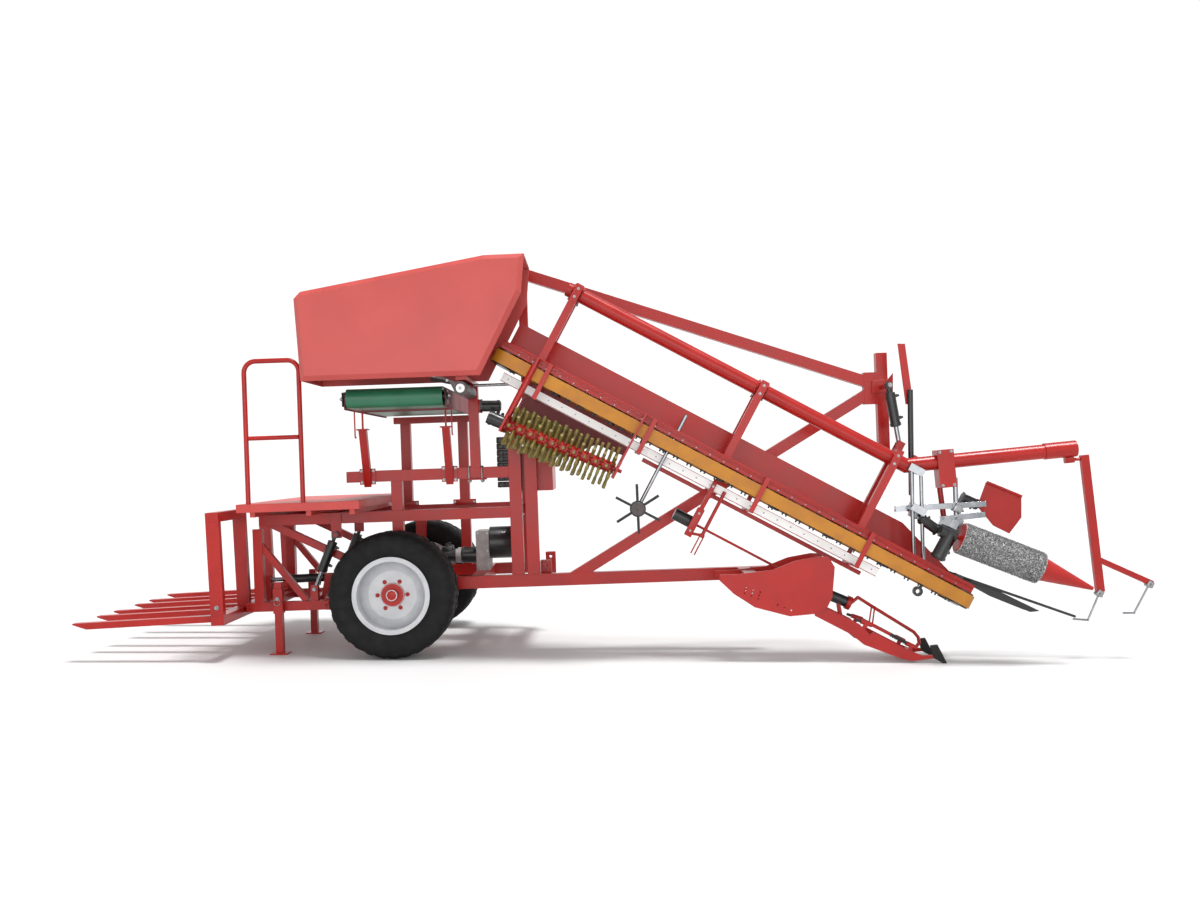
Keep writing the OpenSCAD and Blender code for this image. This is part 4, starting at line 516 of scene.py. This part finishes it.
def drum():
    """Drum of bristles that lean at random, each a foot on the core drawn to a tip, and its cone."""
    start = Vector((DRUM_START[0], DRUM_Y, DRUM_START[1]))
    end = Vector((DRUM_END[0], DRUM_Y, DRUM_END[1]))
    long = (end - start).length
    place = BELT @ aim(start, end)
    core = DRUM_R - TUFT
    brush = bmesh.new()
    rod(brush, (0, 0, 0), (0, 0, long), core, sides=DRUM_SIDES)
    feet, tips = [], []
    for _ in range(TUFTS):
        a = random.uniform(0, 2 * math.pi)
        z = random.uniform(TUFT_MARGIN, long - TUFT_MARGIN)
        lean = a + random.uniform(-TUFT_LEAN, TUFT_LEAN)
        reach = DRUM_R - random.uniform(0, TUFT_SHORT)
        foot = [brush.verts.new((core * math.cos(a + da), core * math.sin(a + da), z + dz))
                for da, dz in TUFT_FOOT]
        feet.append(brush.faces.new(foot))
        height = z + random.uniform(-TUFT_SPREAD, TUFT_SPREAD)
        tips.append((reach * math.cos(lean), reach * math.sin(lean), height))
    poked = bmesh.ops.poke(brush, faces=feet)
    for vert, tip in zip(poked["verts"], tips):
        vert.co = tip
    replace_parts(piece("drum_bristles", brush, place, BRISTLE, "drum_body"), "brush_drum")
    cone = [(rod, (0, 0, long), (0, 0, long + CONE_LEN), CONE_R, CONE_TIP, CONE_SIDES),
            (stack, (0, 0, 0), UP, DRUM_ENDS)]
    fitting("drum_cone", cone, place, RED, "drum_body")


# Share linkage

DRIVE_FACE = -1060
STRAPS = ((3752, -214), (3703, -352))
STRAP_STEP = 26
STRAP_R = 6
STRAP_FOOT_Y = -1158
SPRING_Y = -1174
SPRING_COIL = ((3861, -418), (3984, -489))
SPRING_R = 14
SPRING_WIRE = (3.5, 8)
COILS = 9
COIL_STEPS = 14


def share_fittings():
    """Straps and springs of the share linkage."""
    (u0, v0), (u1, v1) = STRAPS
    straps = [(rod, (u0 + du, DRIVE_FACE, v0), (u1 + du, STRAP_FOOT_Y, v1), STRAP_R)
              for du in (0, STRAP_STEP)]
    fitting("share_straps", straps, CHASSIS, RED, "chassis")
    start, end = (Vector((u, SPRING_Y, v)) for u, v in SPRING_COIL)
    place = aim(start, end)
    rise = (end - start).length / (COILS * COIL_STEPS)
    coil = [place @ Vector((SPRING_R * x, SPRING_R * y, rise * k))
            for k, (x, y) in enumerate(circle(COIL_STEPS) * COILS + circle(COIL_STEPS)[:1])]
    fitting("share_spring", [(tube, coil, *SPRING_WIRE)], CHASSIS, BLACK, "chassis")


# Chassis frame

BOLT = 10
PLATE_EDGE = 3
SEAT = 0.5
RAIL_OUT = 640
RAIL_IN = 560
RAIL_V = (890, 980)
PROP_FACE = -650.3
PROP_US = (-230, 440)
PROP_V = 935
PROP_BOLT = 47
FAR_POSTS = (-112, 415)
FAR_PLATE = (105, 640, 690)
FAR_PLATE_FACE = RAIL_IN - 14
FAR_BOLT = 90
UBOLT_US = (597, 703)
UBOLT_R = 7
UBOLT_GAP = 1
UBOLT_END = RAIL_V[0] - 34
UBOLT_BEND = ((0, 12), (4, 3), (12, 0))
UBOLT_NUT = 13
UBOLT_NUT_V = (RAIL_V[0] - 26, RAIL_V[0] - 12)
SADDLE_MARGIN = (30, 26)
HOOK_US = (-248, 516)
HOOK_Y = -1000
HOOK_V = (1246, 1462)
HOOK_BEND = ((0, 14), (5, 4), (16, 0), (34, 2))
HOOK_R = 6


def frame_fittings():
    """Bolted plates, U-bolts and hooks on the chassis frame."""
    bolts = [(bolt, (u + du, PROP_FACE, PROP_V + dv), NEAR, BOLT) for u in PROP_US
             for du in (-PROP_BOLT, PROP_BOLT) for dv in (-PROP_BOLT, PROP_BOLT)]
    plates, hooks = [], []
    half, low, high = FAR_PLATE
    for u in FAR_POSTS:
        plates.append((block, (u - half, FAR_PLATE_FACE, low), (u + half, RAIL_IN - SEAT, high), PLATE_EDGE))
        bolts += [(bolt, (u + du, FAR_PLATE_FACE, (low + high) / 2), NEAR, BOLT)
                  for du in (-FAR_BOLT, FAR_BOLT)]
    leg = -RAIL_OUT - UBOLT_R - UBOLT_GAP
    back = -RAIL_IN + UBOLT_R + UBOLT_GAP
    top = RAIL_V[1] + UBOLT_R + UBOLT_GAP
    for u in UBOLT_US:
        path = [(u, leg, UBOLT_END)]
        path += [(u, leg + step, top - down) for step, down in UBOLT_BEND]
        path += [(u, back - step, top - down) for step, down in reversed(UBOLT_BEND)]
        path.append((u, back, UBOLT_END))
        bolts.append((tube, path, UBOLT_R))
        low, high = UBOLT_NUT_V
        bolts += [(rod, (u, y, low), (u, y, high), UBOLT_NUT, None, HEXAGON) for y in (leg, back)]
    du, dy = SADDLE_MARGIN
    plates.append((block, (UBOLT_US[0] - du, -RAIL_OUT - dy, UBOLT_NUT_V[1]),
                   (UBOLT_US[1] + du, -RAIL_IN + dy, RAIL_V[0] - SEAT), PLATE_EDGE))
    for u in HOOK_US:
        bend = [(u, HOOK_Y + dy, HOOK_V[0] + dv) for dy, dv in HOOK_BEND]
        hooks.append((tube, [(u, HOOK_Y, HOOK_V[1])] + bend, HOOK_R))
    fitting("frame_bolts", bolts, CHASSIS, ZINC, "chassis")
    fitting("frame_plates", plates + hooks, CHASSIS, RED, "chassis")


# Cross conveyor

CONV_YS = (-1105, 550)
CONV_V = 1547
CONV_ENDS = ((-301, -1), (493, 1))
CHEEK = 9
CHEEK_EDGE = 4
CHEEK_Y = 55
CHEEK_V = (-62, 50)
BOSS_STEPS = ((CHEEK, 15, 34, 30, 24),)
CONV_NUT = 16
CONV_NUT_FOOT = 15
XFER = (645, -1450, 1580)
XFER_STEPS = ((0, 10, 34, 31, 32), (10, 16, 24, 20, 32))
XFER_NUT_Y = -1466
XFER_NUT = 11
ARM_BOLTS = ((372, 1705), (452, 1680), (548, 1640))
ARM_BOLT = 9
HOOD_ROD = ((690, -900, 1632), (1048, -900, 1633), 12)


def conveyor_fittings():
    """End cheeks and nuts of the cross conveyor, and the transfer roller's bearing."""
    cheeks, nuts = [], []
    low, high = (CONV_V + dv for dv in CHEEK_V)
    for u, out in CONV_ENDS:
        rear, front = sorted((u, u + out * CHEEK))
        way = (out, 0, 0)
        for y in CONV_YS:
            cheeks.append((block, (rear, y - CHEEK_Y, low), (front, y + CHEEK_Y, high), CHEEK_EDGE))
            cheeks.append((stack, (u, y, CONV_V), way, BOSS_STEPS))
            nuts.append((bolt, (u + out * CONV_NUT_FOOT, y, CONV_V), way, CONV_NUT))
    u, face, v = XFER
    nuts.append((bolt, (u, XFER_NUT_Y, v), NEAR, XFER_NUT))
    nuts += [(bolt, (at_u, face, at_v), NEAR, ARM_BOLT) for at_u, at_v in ARM_BOLTS]
    nuts.append((rod, *HOOD_ROD))
    fitting("conveyor_cheeks", cheeks, CHASSIS, BLACK, "chassis")
    fitting("conveyor_nuts", nuts, CHASSIS, ZINC, "chassis")
    bearing = [(stack, XFER, NEAR, XFER_STEPS)]
    fitting("transfer_bearing", bearing, CHASSIS, WHITE, "chassis")


# Hydraulic motors; the shares are of a motor's radius

MOTOR_SIDES = 32
MOTOR_FLANGE = 16
FLANGE_SHARE = 1.24
BAND = (3, 22)
BAND_SHARE = 1.1
CAP_END = -10
CAP_SHARES = (0.7, 0.92)
CAP_SIDES = 24
PORT_PLACE = 0.35
PORT_ASIDE = 0.4
PORT_STEPS = ((0.7, 1.25, 0.3, 6), (1.25, 1.5, 0.2, 14))
CAP_BOLTS = 6
CAP_BOLT_PITCH = 0.78
CAP_BOLT_SHARE = 0.15
CAP_BOLT_ENDS = (-7, 4)


def motor(start, end, r):
    """Black hydraulic motor with its flange, end cap, ports and bolts."""
    start, end = Vector(start), Vector(end)
    long = (end - start).length
    way = (end - start).normalized()
    side = way.orthogonal().normalized()
    cross = way.cross(side)
    body = ((0, long, r, r, MOTOR_SIDES), (long - MOTOR_FLANGE, long, r * FLANGE_SHARE, None, HEXAGON),
            (*BAND, r * BAND_SHARE, None, MOTOR_SIDES),
            (CAP_END, BAND[0], *(r * share for share in CAP_SHARES), CAP_SIDES))
    ports = [(*(r * share for share in step), None, sides) for *step, sides in PORT_STEPS]
    shapes = [(stack, start, way, body)]
    for turn in (-1, 1):
        shapes.append((stack, start + way * long * PORT_PLACE + cross * turn * r * PORT_ASIDE, side, ports))
    for k in range(CAP_BOLTS):
        t = 2 * math.pi * (k + 0.5) / CAP_BOLTS
        foot = start + (side * math.cos(t) + cross * math.sin(t)) * r * CAP_BOLT_PITCH
        shapes.append((stack, foot, way, ((*CAP_BOLT_ENDS, r * CAP_BOLT_SHARE, None, HEXAGON),)))
    return shapes


# Drive

SHAFT = CHASSIS @ Matrix.Translation((0, 0, 320)) @ Matrix.Rotation(math.radians(90), 4, "Y")
GUARD_PROFILE = ((126, 699), (138, 691), (138, 897), (135, 903), (128, 903), (126, 900))
GUARD_SIDES = 56
PUMP_YS = (-80, 80)
PUMP_V = 220
PUMP_STEPS = ((459, 579, 64, 64, 32), (447, 459, 72, 72, 6), (240, 447, 51, 51, 28))
PUMP_PORT = ((280, -30, 250), (360, 30, 304), 5)
PUMP_HOSE_END = ((320, 304), ((0, 24, 17, 15, 6),))
BANK = ((762, 920), (105, 235), (790, 1238))
BANK_SLICES = 8
SLICE_GAP = 3
SLICE_EDGE = 6
SPOOL_U = 802
SPOOL_STEPS = ((-4, 22, 18, 18, 20),)
POST_PLATE = ((690.3, -642, 1428), (706, -558, 1536), 3)
POST_MOTOR = ((866, -600, 1477), (706, -600, 1482), 46)
BOX_FACE = -160.5
BOX_BOLT_US = (599, 679)
BOX_BOLT_VS = (140, 260, 410)
BOX_BOLT = 8


def drive_fittings():
    """Black shaft guard, pump bodies, valve slices round the gearbox and the conveyor's motor."""
    guard = bmesh.new()
    spun(guard, GUARD_PROFILE, GUARD_SIDES, Matrix())
    piece("shaft_guard", guard, SHAFT, BLACK, "chassis")
    shapes = []
    (u0, y0, v0), (u1, y1, v1), edge = PUMP_PORT
    (hose_u, hose_v), hose_steps = PUMP_HOSE_END
    for y in PUMP_YS:
        shapes.append((stack, (0, y, PUMP_V), AHEAD, PUMP_STEPS))
        shapes.append((block, (u0, y + y0, v0), (u1, y + y1, v1), edge))
        shapes.append((stack, (hose_u, y, hose_v), UP, hose_steps))
    (u0, u1), (y0, y1), (v0, v1) = BANK
    step = (v1 - v0) / BANK_SLICES
    for k in range(BANK_SLICES):
        low = v0 + k * step
        high = low + step
        shapes.append((block, (u0, y0, low + SLICE_GAP), (u1, y1, high - SLICE_GAP), SLICE_EDGE))
        shapes.append((stack, (SPOOL_U, y0, (low + high) / 2), NEAR, SPOOL_STEPS))
    shapes += motor(*POST_MOTOR)
    fitting("pumps_and_valves", shapes, CHASSIS, BLACK, "chassis")
    fitting("motor_plate", [(block, *POST_PLATE)], CHASSIS, RED, "chassis")
    bolts = [(bolt, (u, BOX_FACE, v), NEAR, BOX_BOLT) for u in BOX_BOLT_US for v in BOX_BOLT_VS]
    fitting("gearbox_bolts", bolts, CHASSIS, ZINC, "chassis")


# Rear fork and its lift frame

FORK_Y = -195
FORK_PIVOT = (-1200, FORK_Y, -92)
FORK_PITCH = 1.3
FORK = CHASSIS @ Matrix.Translation(FORK_PIVOT) @ Matrix.Rotation(math.radians(-FORK_PITCH), 4, "Y")
FORK_BOLT_PLACE = (-100, 1055, 70)
FORK_BOLT = 15
LIFT_ARMS = (FORK_Y - 495, FORK_Y + 495)
LIFT_TOP = (-501, 470)
LIFT_LOW = (-682, 38)
LIFT_PIN_OUT = 31
LIFT_PIN = 13
LEG_PIN = (-958, 607, -20)
LEG_PIN_STEPS = ((0, 26, 9, 9, 14), (4, 10, 15, 15, 18))
PULL_RING = 26
PULL_RING_OUT = 18
PULL_RING_TURN = (90, 430)
PULL_RING_STEPS = 18
PULL_RING_WIRE = 3


def fork_fittings():
    """Bolts on the fork, pin ends on the lift frame and the locking pins of its legs."""
    x, y, z = FORK_BOLT_PLACE
    bolts = [(bolt, (x, side * y, z), (0, side, 0), FORK_BOLT) for side in (-1, 1)]
    fitting("fork_bolts", bolts, FORK, ZINC, "fork")
    u, v = LIFT_LOW
    caps = [(bolt, (u, arm + side * LIFT_PIN_OUT, v), (0, side, 0), LIFT_PIN)
            for arm in LIFT_ARMS for side in (-1, 1)]
    fitting("lift_pin_caps", caps, CHASSIS, ZINC, "lift_rod_body")
    pins = []
    u, out, v = LEG_PIN
    for side in (-1, 1):
        face = FORK_Y + side * out
        pins.append((stack, (u, face, v), (0, side, 0), LEG_PIN_STEPS))
        centre = (u, face + side * PULL_RING_OUT, v - PULL_RING)
        loop = arc(centre, PULL_RING, *PULL_RING_TURN, PULL_RING_STEPS, (AHEAD, UP))
        pins.append((tube, loop, PULL_RING_WIRE))
    fitting("leg_pins", pins, CHASSIS, ZINC, "lift_frame")


# Hydraulic cylinders; a gland's steps are added to the barrel's radius

GLAND_STEPS = ((-26, -3, 5, 5, 32), (-3, 5, 2, -8, 32))
END_PORT = -62
ROOT_PORT = 92
PORT_SINK = 4
HOSE_STEPS = ((0, 20, 13, 13, 6), (20, 32, 9, 9, 14))
LIFT_BARREL = (0.66, 38)
TILT_PINS = ((-671, 86), (-1203.9, 79))
TILT_BARREL = (0.68, 36)
BOOM_PINS = ((3990, 1520), (4060, 1040))
BOOM_BARREL = (0.68, 40)
CYLINDER_Y = -880
APEX_NUT_Y = -930
APEX_NUT = 16


def gland(pins, y, barrel):
    """End ring and ports of a cylinder whose barrel covers a share of the way between its pins."""
    root, tip = (Vector((u, y, v)) for u, v in pins)
    share, r = barrel
    way = (tip - root).normalized()
    side = way.cross(Vector((0, 1, 0)))
    end = root + (tip - root) * share
    lift = side * (r - PORT_SINK)
    rings = [(low, high, r + more, r + end_more, sides) for low, high, more, end_more, sides in GLAND_STEPS]
    return [(stack, end, way, rings), (stack, end + way * END_PORT + lift, side, HOSE_STEPS),
            (stack, root + way * ROOT_PORT + lift, side, HOSE_STEPS)]


def cylinders():
    """Glands and ports of the hydraulic cylinders."""
    lifts = [shape for arm in LIFT_ARMS for shape in gland((LIFT_TOP, LIFT_LOW), arm, LIFT_BARREL)]
    tilt = gland(TILT_PINS, FORK_Y, TILT_BARREL)
    boom = gland(BOOM_PINS, CYLINDER_Y, BOOM_BARREL)
    u, v = BOOM_PINS[0]
    fitting("lift_glands", lifts, CHASSIS, BLACK, "lift_barrel_body")
    fitting("tilt_gland", tilt, CHASSIS, BLACK, "tilt_barrel_body")
    fitting("boom_gland", boom, CHASSIS, BLACK, "boom_barrel_body")
    fitting("apex_nut", [(bolt, (u, APEX_NUT_Y, v), NEAR, APEX_NUT)], CHASSIS, ZINC, "chassis")


# Lifting unit, along its belts

RAIL_S = (137, 3430)
RAIL_N = (-160, -90)
RAIL_FACE = -65
LINE = 4
LINE_OUT = 1.5
TRIM_SINK = 0.2
FRAME_S = (41, 4106)
FRAME_FACE = -190
FRAME_LOW = 62
LIPS = ((FRAME_LOW, 5), (FRAME_LOW + 27, 5), (FRAME_LOW + 38, 4), (115, 12))
LIP_OUT = 7
LIP_EDGE = 1
PEGS = 33
PEG_FIRST = 190
PEG_STEP = 118
PEG_PAIR = (0, 30)
PEG_Y = -150
PEG_N = -62
PEG_BODY = (12, 11, 12)
PEG_TIPS = (-74, -78)
PEG_POINT = (7, 6, 8)
UNIT_BOLT = 5
FRAME_BOLT_N = FRAME_LOW + 16
BOOM_N = 720
BOOM_R = 57
HANGERS = (352, 1973, 3146)
HANGER_FACE = -101
HANGER_BOLT = 10
HANGER_BOLT_NS = (BOOM_N - 40, BOOM_N + 30)
BOOM_TIES = HANGERS[:2]
TIE_STEP = 38
TIE_R = 7
TIE_BEND = BOOM_R + TIE_R + 1
TIE_LEG = Vector((0, 0, -BOOM_R - 24))
TIE_STEPS = 16
ROTOR_LEG = ((338, -222, FRAME_LOW), (338, -222, -420), 25, None, 28)
ROTOR_BEARING = ((314, -240, -476), (362, -160, -398), 5)
BEARING_BOLT = ((338, -240, -426), NEAR, 10)
DRIVE_HANGER = (((1969, -106, -330), (2003, -66, -66), 4), ((1956, -110, -556), (2014, -66, -318), 4))
DRIVE_HANGER_BOLTS = ((1985, -106, -125), (1985, -110, -360), (1985, -110, -510))
DRIVE_HANGER_BOLT = 8
DRIVE_PROP = ((2087, -82, -120), (2087, -82, -520), 14)
PROP_PRONGS = (((2067, -90, -664), (2077, -74, -490), 2), ((2097, -90, -664), (2107, -74, -490), 2))
PROP_TIE = ((1990, -86, -530), (2087, -82, -500), 11)


def unit_fittings():
    """Edge lines, lips, pegs, bolts and ties along the lifting belts, and the share drive's hanger."""
    red, black, zinc = [], [], []
    for n in (RAIL_N[0], RAIL_N[1] - LINE):
        red.append((block, (RAIL_S[0], RAIL_FACE - LINE_OUT, n),
                    (RAIL_S[1], RAIL_FACE - TRIM_SINK, n + LINE)))
    for n, high in LIPS:
        red.append((block, (FRAME_S[0], FRAME_FACE - LIP_OUT, n),
                    (FRAME_S[1], FRAME_FACE - TRIM_SINK, n + high), LIP_EDGE))
    for k in range(PEGS):
        first = PEG_FIRST + k * PEG_STEP
        for s in (first + ds for ds in PEG_PAIR):
            black.append((rod, (s, PEG_Y, FRAME_LOW), (s, PEG_Y, PEG_N), *PEG_BODY))
            black.append((rod, (s, PEG_Y, PEG_N), (s, PEG_Y, PEG_TIPS[k % 2]), *PEG_POINT))
        if first < RAIL_S[1]:
            zinc.append((bolt, (first, RAIL_FACE - TRIM_SINK, sum(RAIL_N) / 2), NEAR, UNIT_BOLT))
        zinc.append((bolt, (first, FRAME_FACE - TRIM_SINK, FRAME_BOLT_N), NEAR, UNIT_BOLT))
    for s in BOOM_TIES:
        for ds in (-TIE_STEP, TIE_STEP):
            over = arc((s + ds, 0, BOOM_N), TIE_BEND, 0, 180, TIE_STEPS, ((0, 1, 0), UP))
            red.append((tube, [over[0] + TIE_LEG] + over + [over[-1] + TIE_LEG], TIE_R))
    zinc += [(bolt, (s, HANGER_FACE, n), NEAR, HANGER_BOLT) for s in HANGERS for n in HANGER_BOLT_NS]
    red += [(block, *given) for given in DRIVE_HANGER + PROP_PRONGS]
    red += [(rod, *given) for given in (DRIVE_PROP, PROP_TIE, ROTOR_LEG)]
    red.append((block, *ROTOR_BEARING))
    zinc += [(bolt, place, NEAR, DRIVE_HANGER_BOLT) for place in DRIVE_HANGER_BOLTS]
    zinc.append((bolt, *BEARING_BOLT))
    fitting("unit_red_trim", red, BELT, RED, "lifting_unit")
    fitting("unit_pegs", black, BELT, BLACK, "lifting_unit")
    fitting("unit_bolts", zinc, BELT, ZINC, "lifting_unit")


# Lifting unit, at its motors and its front

MOTORS = (((3735, -250, 180), (3738, -250, 400), 54), ((3915, 66, 716), (3772, 66, 708), 40),
          ((3530, -66, 404), (3690, -66, 382), 40),
          ((215, -ROTOR_Y, -451), (338, -ROTOR_Y, -440.3), 51),
          ((215, ROTOR_Y, -451), (338, ROTOR_Y, -440.3), 51))
RING_ROLLER = ((3748, -150, -112), 38, 17, 30)
RING_STEM = ((3748, -150, -82), (3748, -150, -50), 8, None, 12)
CLAMPS = ((3485, 419), (3766, 611), (3818, 513), (3893, 455))
CLAMP = (34, 40, 34)
CLAMP_EDGE = 7
CLAMP_EARS = (50, 32, 9)
EAR_EDGE = 4
CLAMP_BOLTS = ((-20, 20), (20, -20))
CLAMP_BOLT = 8
CLAMP_RING = (16, 9, 6)
CLAMP_RING_Y = -42
FEELER_CLAMPS = ((5058, 545), (5373, 790))
FEELER_CLAMP = ((-26, -30, -34), (26, 30, 18))
FEELER_BOLT = (-30, -8, 11)
FEELER_PIN = (-40, 36, -20, 7, 12)
SHIELD_ROLL = ((3882, 14, 902), (4176, 14, 929), 11, None, 18)
FRONT_STAY = ((3555, 93, 757), (3746, 93, 488), 22)
BOOM_BEND = (3254, 0, BOOM_N)
BOOM_BEND_ANGLE = 33.4
BOOM_FRONT = BELT @ Matrix.Translation(BOOM_BEND) @ Matrix.Rotation(math.radians(-BOOM_BEND_ANGLE), 4, "Y")
BOOM_CLAMP_BOLTS = ((255, 78), (345, 78), (255, -182), (345, -182))
BOOM_CLAMP_FACE = -70
BOOM_CLAMP_BOLT = 11
STAR = (1545, -191, -547)
STAR_HUB_STEPS = ((0, 5, 54, 50, 40),)
STAR_NUT = (5, 14)
STAR_BOLTS = 6
STAR_BOLT_PITCH = 38
STAR_BOLT = (4, 6)


def cuboid(centre, half):
    """Low and high corners round a centre."""
    centre, half = Vector(centre), Vector(half)
    return centre - half, centre + half


def front_fittings():
    """Motors, clamps and small fittings at the front of the lifting unit, and the star wheel's hub."""
    black = [shape for given in MOTORS for shape in motor(*given)]
    black += [(ring, *RING_ROLLER), (rod, *RING_STEM)]
    grip, zinc = [], []
    for s, n in CLAMPS:
        grip.append((block, *cuboid((s, 0, n), CLAMP), CLAMP_EDGE))
        grip.append((block, *cuboid((s, 0, n), CLAMP_EARS), EAR_EDGE))
        zinc += [(bolt, (s + ds, -CLAMP[1], n + dn), NEAR, CLAMP_BOLT) for ds, dn in CLAMP_BOLTS]
        zinc.append((ring, (s, CLAMP_RING_Y, n), *CLAMP_RING))
    for s, n in FEELER_CLAMPS:
        centre = Vector((s, 0, n))
        low, high = (centre + Vector(corner) for corner in FEELER_CLAMP)
        grip.append((block, low, high, CLAMP_EDGE))
        y, dn, size = FEELER_BOLT
        zinc.append((bolt, (s, y, n + dn), NEAR, size))
        rear, front, dn, r, sides = FEELER_PIN
        zinc.append((rod, (s + rear, 0, n + dn), (s + front, 0, n + dn), r, None, sides))
    plate = [(bolt, (x, BOOM_CLAMP_FACE, z), NEAR, BOOM_CLAMP_BOLT) for x, z in BOOM_CLAMP_BOLTS]
    s, y, n = STAR
    out, size = STAR_NUT
    hub = [(stack, STAR, NEAR, STAR_HUB_STEPS), (bolt, (s, y - out, n), NEAR, size)]
    out, size = STAR_BOLT
    hub += [(bolt, (s + STAR_BOLT_PITCH * x, y - out, n + STAR_BOLT_PITCH * z), NEAR, size)
            for x, z in circle(STAR_BOLTS)]
    fitting("unit_motor_dress", black, BELT, BLACK, "lifting_unit")
    fitting("bright_clamps", grip, BELT, ZINC, "lifting_unit")
    fitting("shield_roll", [(rod, *SHIELD_ROLL), (rod, *FRONT_STAY)], BELT, RED, "lifting_unit")
    fitting("front_bolts", zinc, BELT, ZINC, "lifting_unit")
    fitting("boom_clamp_bolts", plate, BOOM_FRONT, ZINC, "lifting_unit")
    fitting("star_hub", hub, BELT, STEEL, "star_body")


wheels()
rotors()
drum()
share_fittings()
frame_fittings()
conveyor_fittings()
drive_fittings()
fork_fittings()
cylinders()
unit_fittings()
front_fittings()


# Studio, in metres

FLOOR_HALF = 60
FLOOR_COLOUR = "#d2d2d2"
FLOOR_ROUGH = 0.6
FLOOR_SPECULAR = 0.2
DOME_STOPS = ((0.42, "#ffffff"), (0.66, "#b4b4b4"))
DOME_STRENGTH = 1.08
OVERHEAD_STRENGTH = 3.5
OVERHEAD_TRAVEL = (-0.22, 0.16, -1)
OVERHEAD_SPREAD = 16
PANEL_POWER = 330
PANEL_PLACE = (0, -13, 2.3)
PANEL_SIZE = (12, 4.4)
LEVEL = (math.radians(90), 0, 0)


def show(name, data):
    """Adds an object with its data to the scene."""
    thing = bpy.data.objects.new(name, data)
    bpy.context.collection.objects.link(thing)
    return thing


def studio():
    """Pale floor under a dome that is white all round and greyer overhead."""
    floor = bmesh.new()
    bmesh.ops.create_grid(floor, x_segments=1, y_segments=1, size=FLOOR_HALF)
    data = bpy.data.meshes.new("floor")
    floor.to_mesh(data)
    floor.free()
    pale = bpy.data.materials.new("floor_pale")
    pale.use_nodes = True
    shader = pale.node_tree.nodes["Principled BSDF"]
    shader.inputs["Base Color"].default_value = linear(FLOOR_COLOUR)
    shader.inputs["Roughness"].default_value = FLOOR_ROUGH
    shader.inputs["Specular IOR Level"].default_value = FLOOR_SPECULAR
    data.materials.append(pale)
    show("floor", data)
    world = bpy.data.worlds.new("studio")
    bpy.context.scene.world = world
    world.use_nodes = True
    tree = world.node_tree
    way = add(tree, "ShaderNodeTexCoord").outputs["Generated"]
    height = add(tree, "ShaderNodeSeparateXYZ", {"Vector": way}).outputs["Z"]
    sky = tree.nodes["Background"]
    tree.links.new(ramp(tree, height, DOME_STOPS), sky.inputs["Color"])
    sky.inputs["Strength"].default_value = DOME_STRENGTH


def lights():
    """Broad overhead light, and a white panel behind the camera that flat sides mirror softly."""
    sun = bpy.data.lights.new("overhead", "SUN")
    sun.energy = OVERHEAD_STRENGTH
    sun.angle = math.radians(OVERHEAD_SPREAD)
    show("overhead", sun).rotation_euler = Vector(OVERHEAD_TRAVEL).to_track_quat("-Z", "Y").to_euler()
    panel = bpy.data.lights.new("front_panel", "AREA")
    panel.shape = "RECTANGLE"
    panel.size, panel.size_y = PANEL_SIZE
    panel.energy = PANEL_POWER
    thing = show("front_panel", panel)
    thing.location = PANEL_PLACE
    thing.rotation_euler = LEVEL


# The photo's camera: its place in the part's frame, and how far its horizon lies from the picture's middle

CAMERA_PLACE = (-134, -10005, 1563)
SENSOR = 36
LENS = 35
PHOTO_WIDTH = 1200
HORIZON_DROP = 10
CLIP_END = 200


def camera():
    """Level camera that looks across the machine from its right side."""
    data = bpy.data.cameras.new("photo_camera")
    data.sensor_width = SENSOR
    data.lens = LENS
    data.shift_y = HORIZON_DROP / PHOTO_WIDTH
    data.clip_end = CLIP_END
    thing = show("photo_camera", data)
    thing.location = Vector(CAMERA_PLACE) * MM
    thing.rotation_euler = LEVEL
    bpy.context.scene.camera = thing


studio()
lights()
camera()
bpy.context.scene.view_settings.view_transform = "Standard"
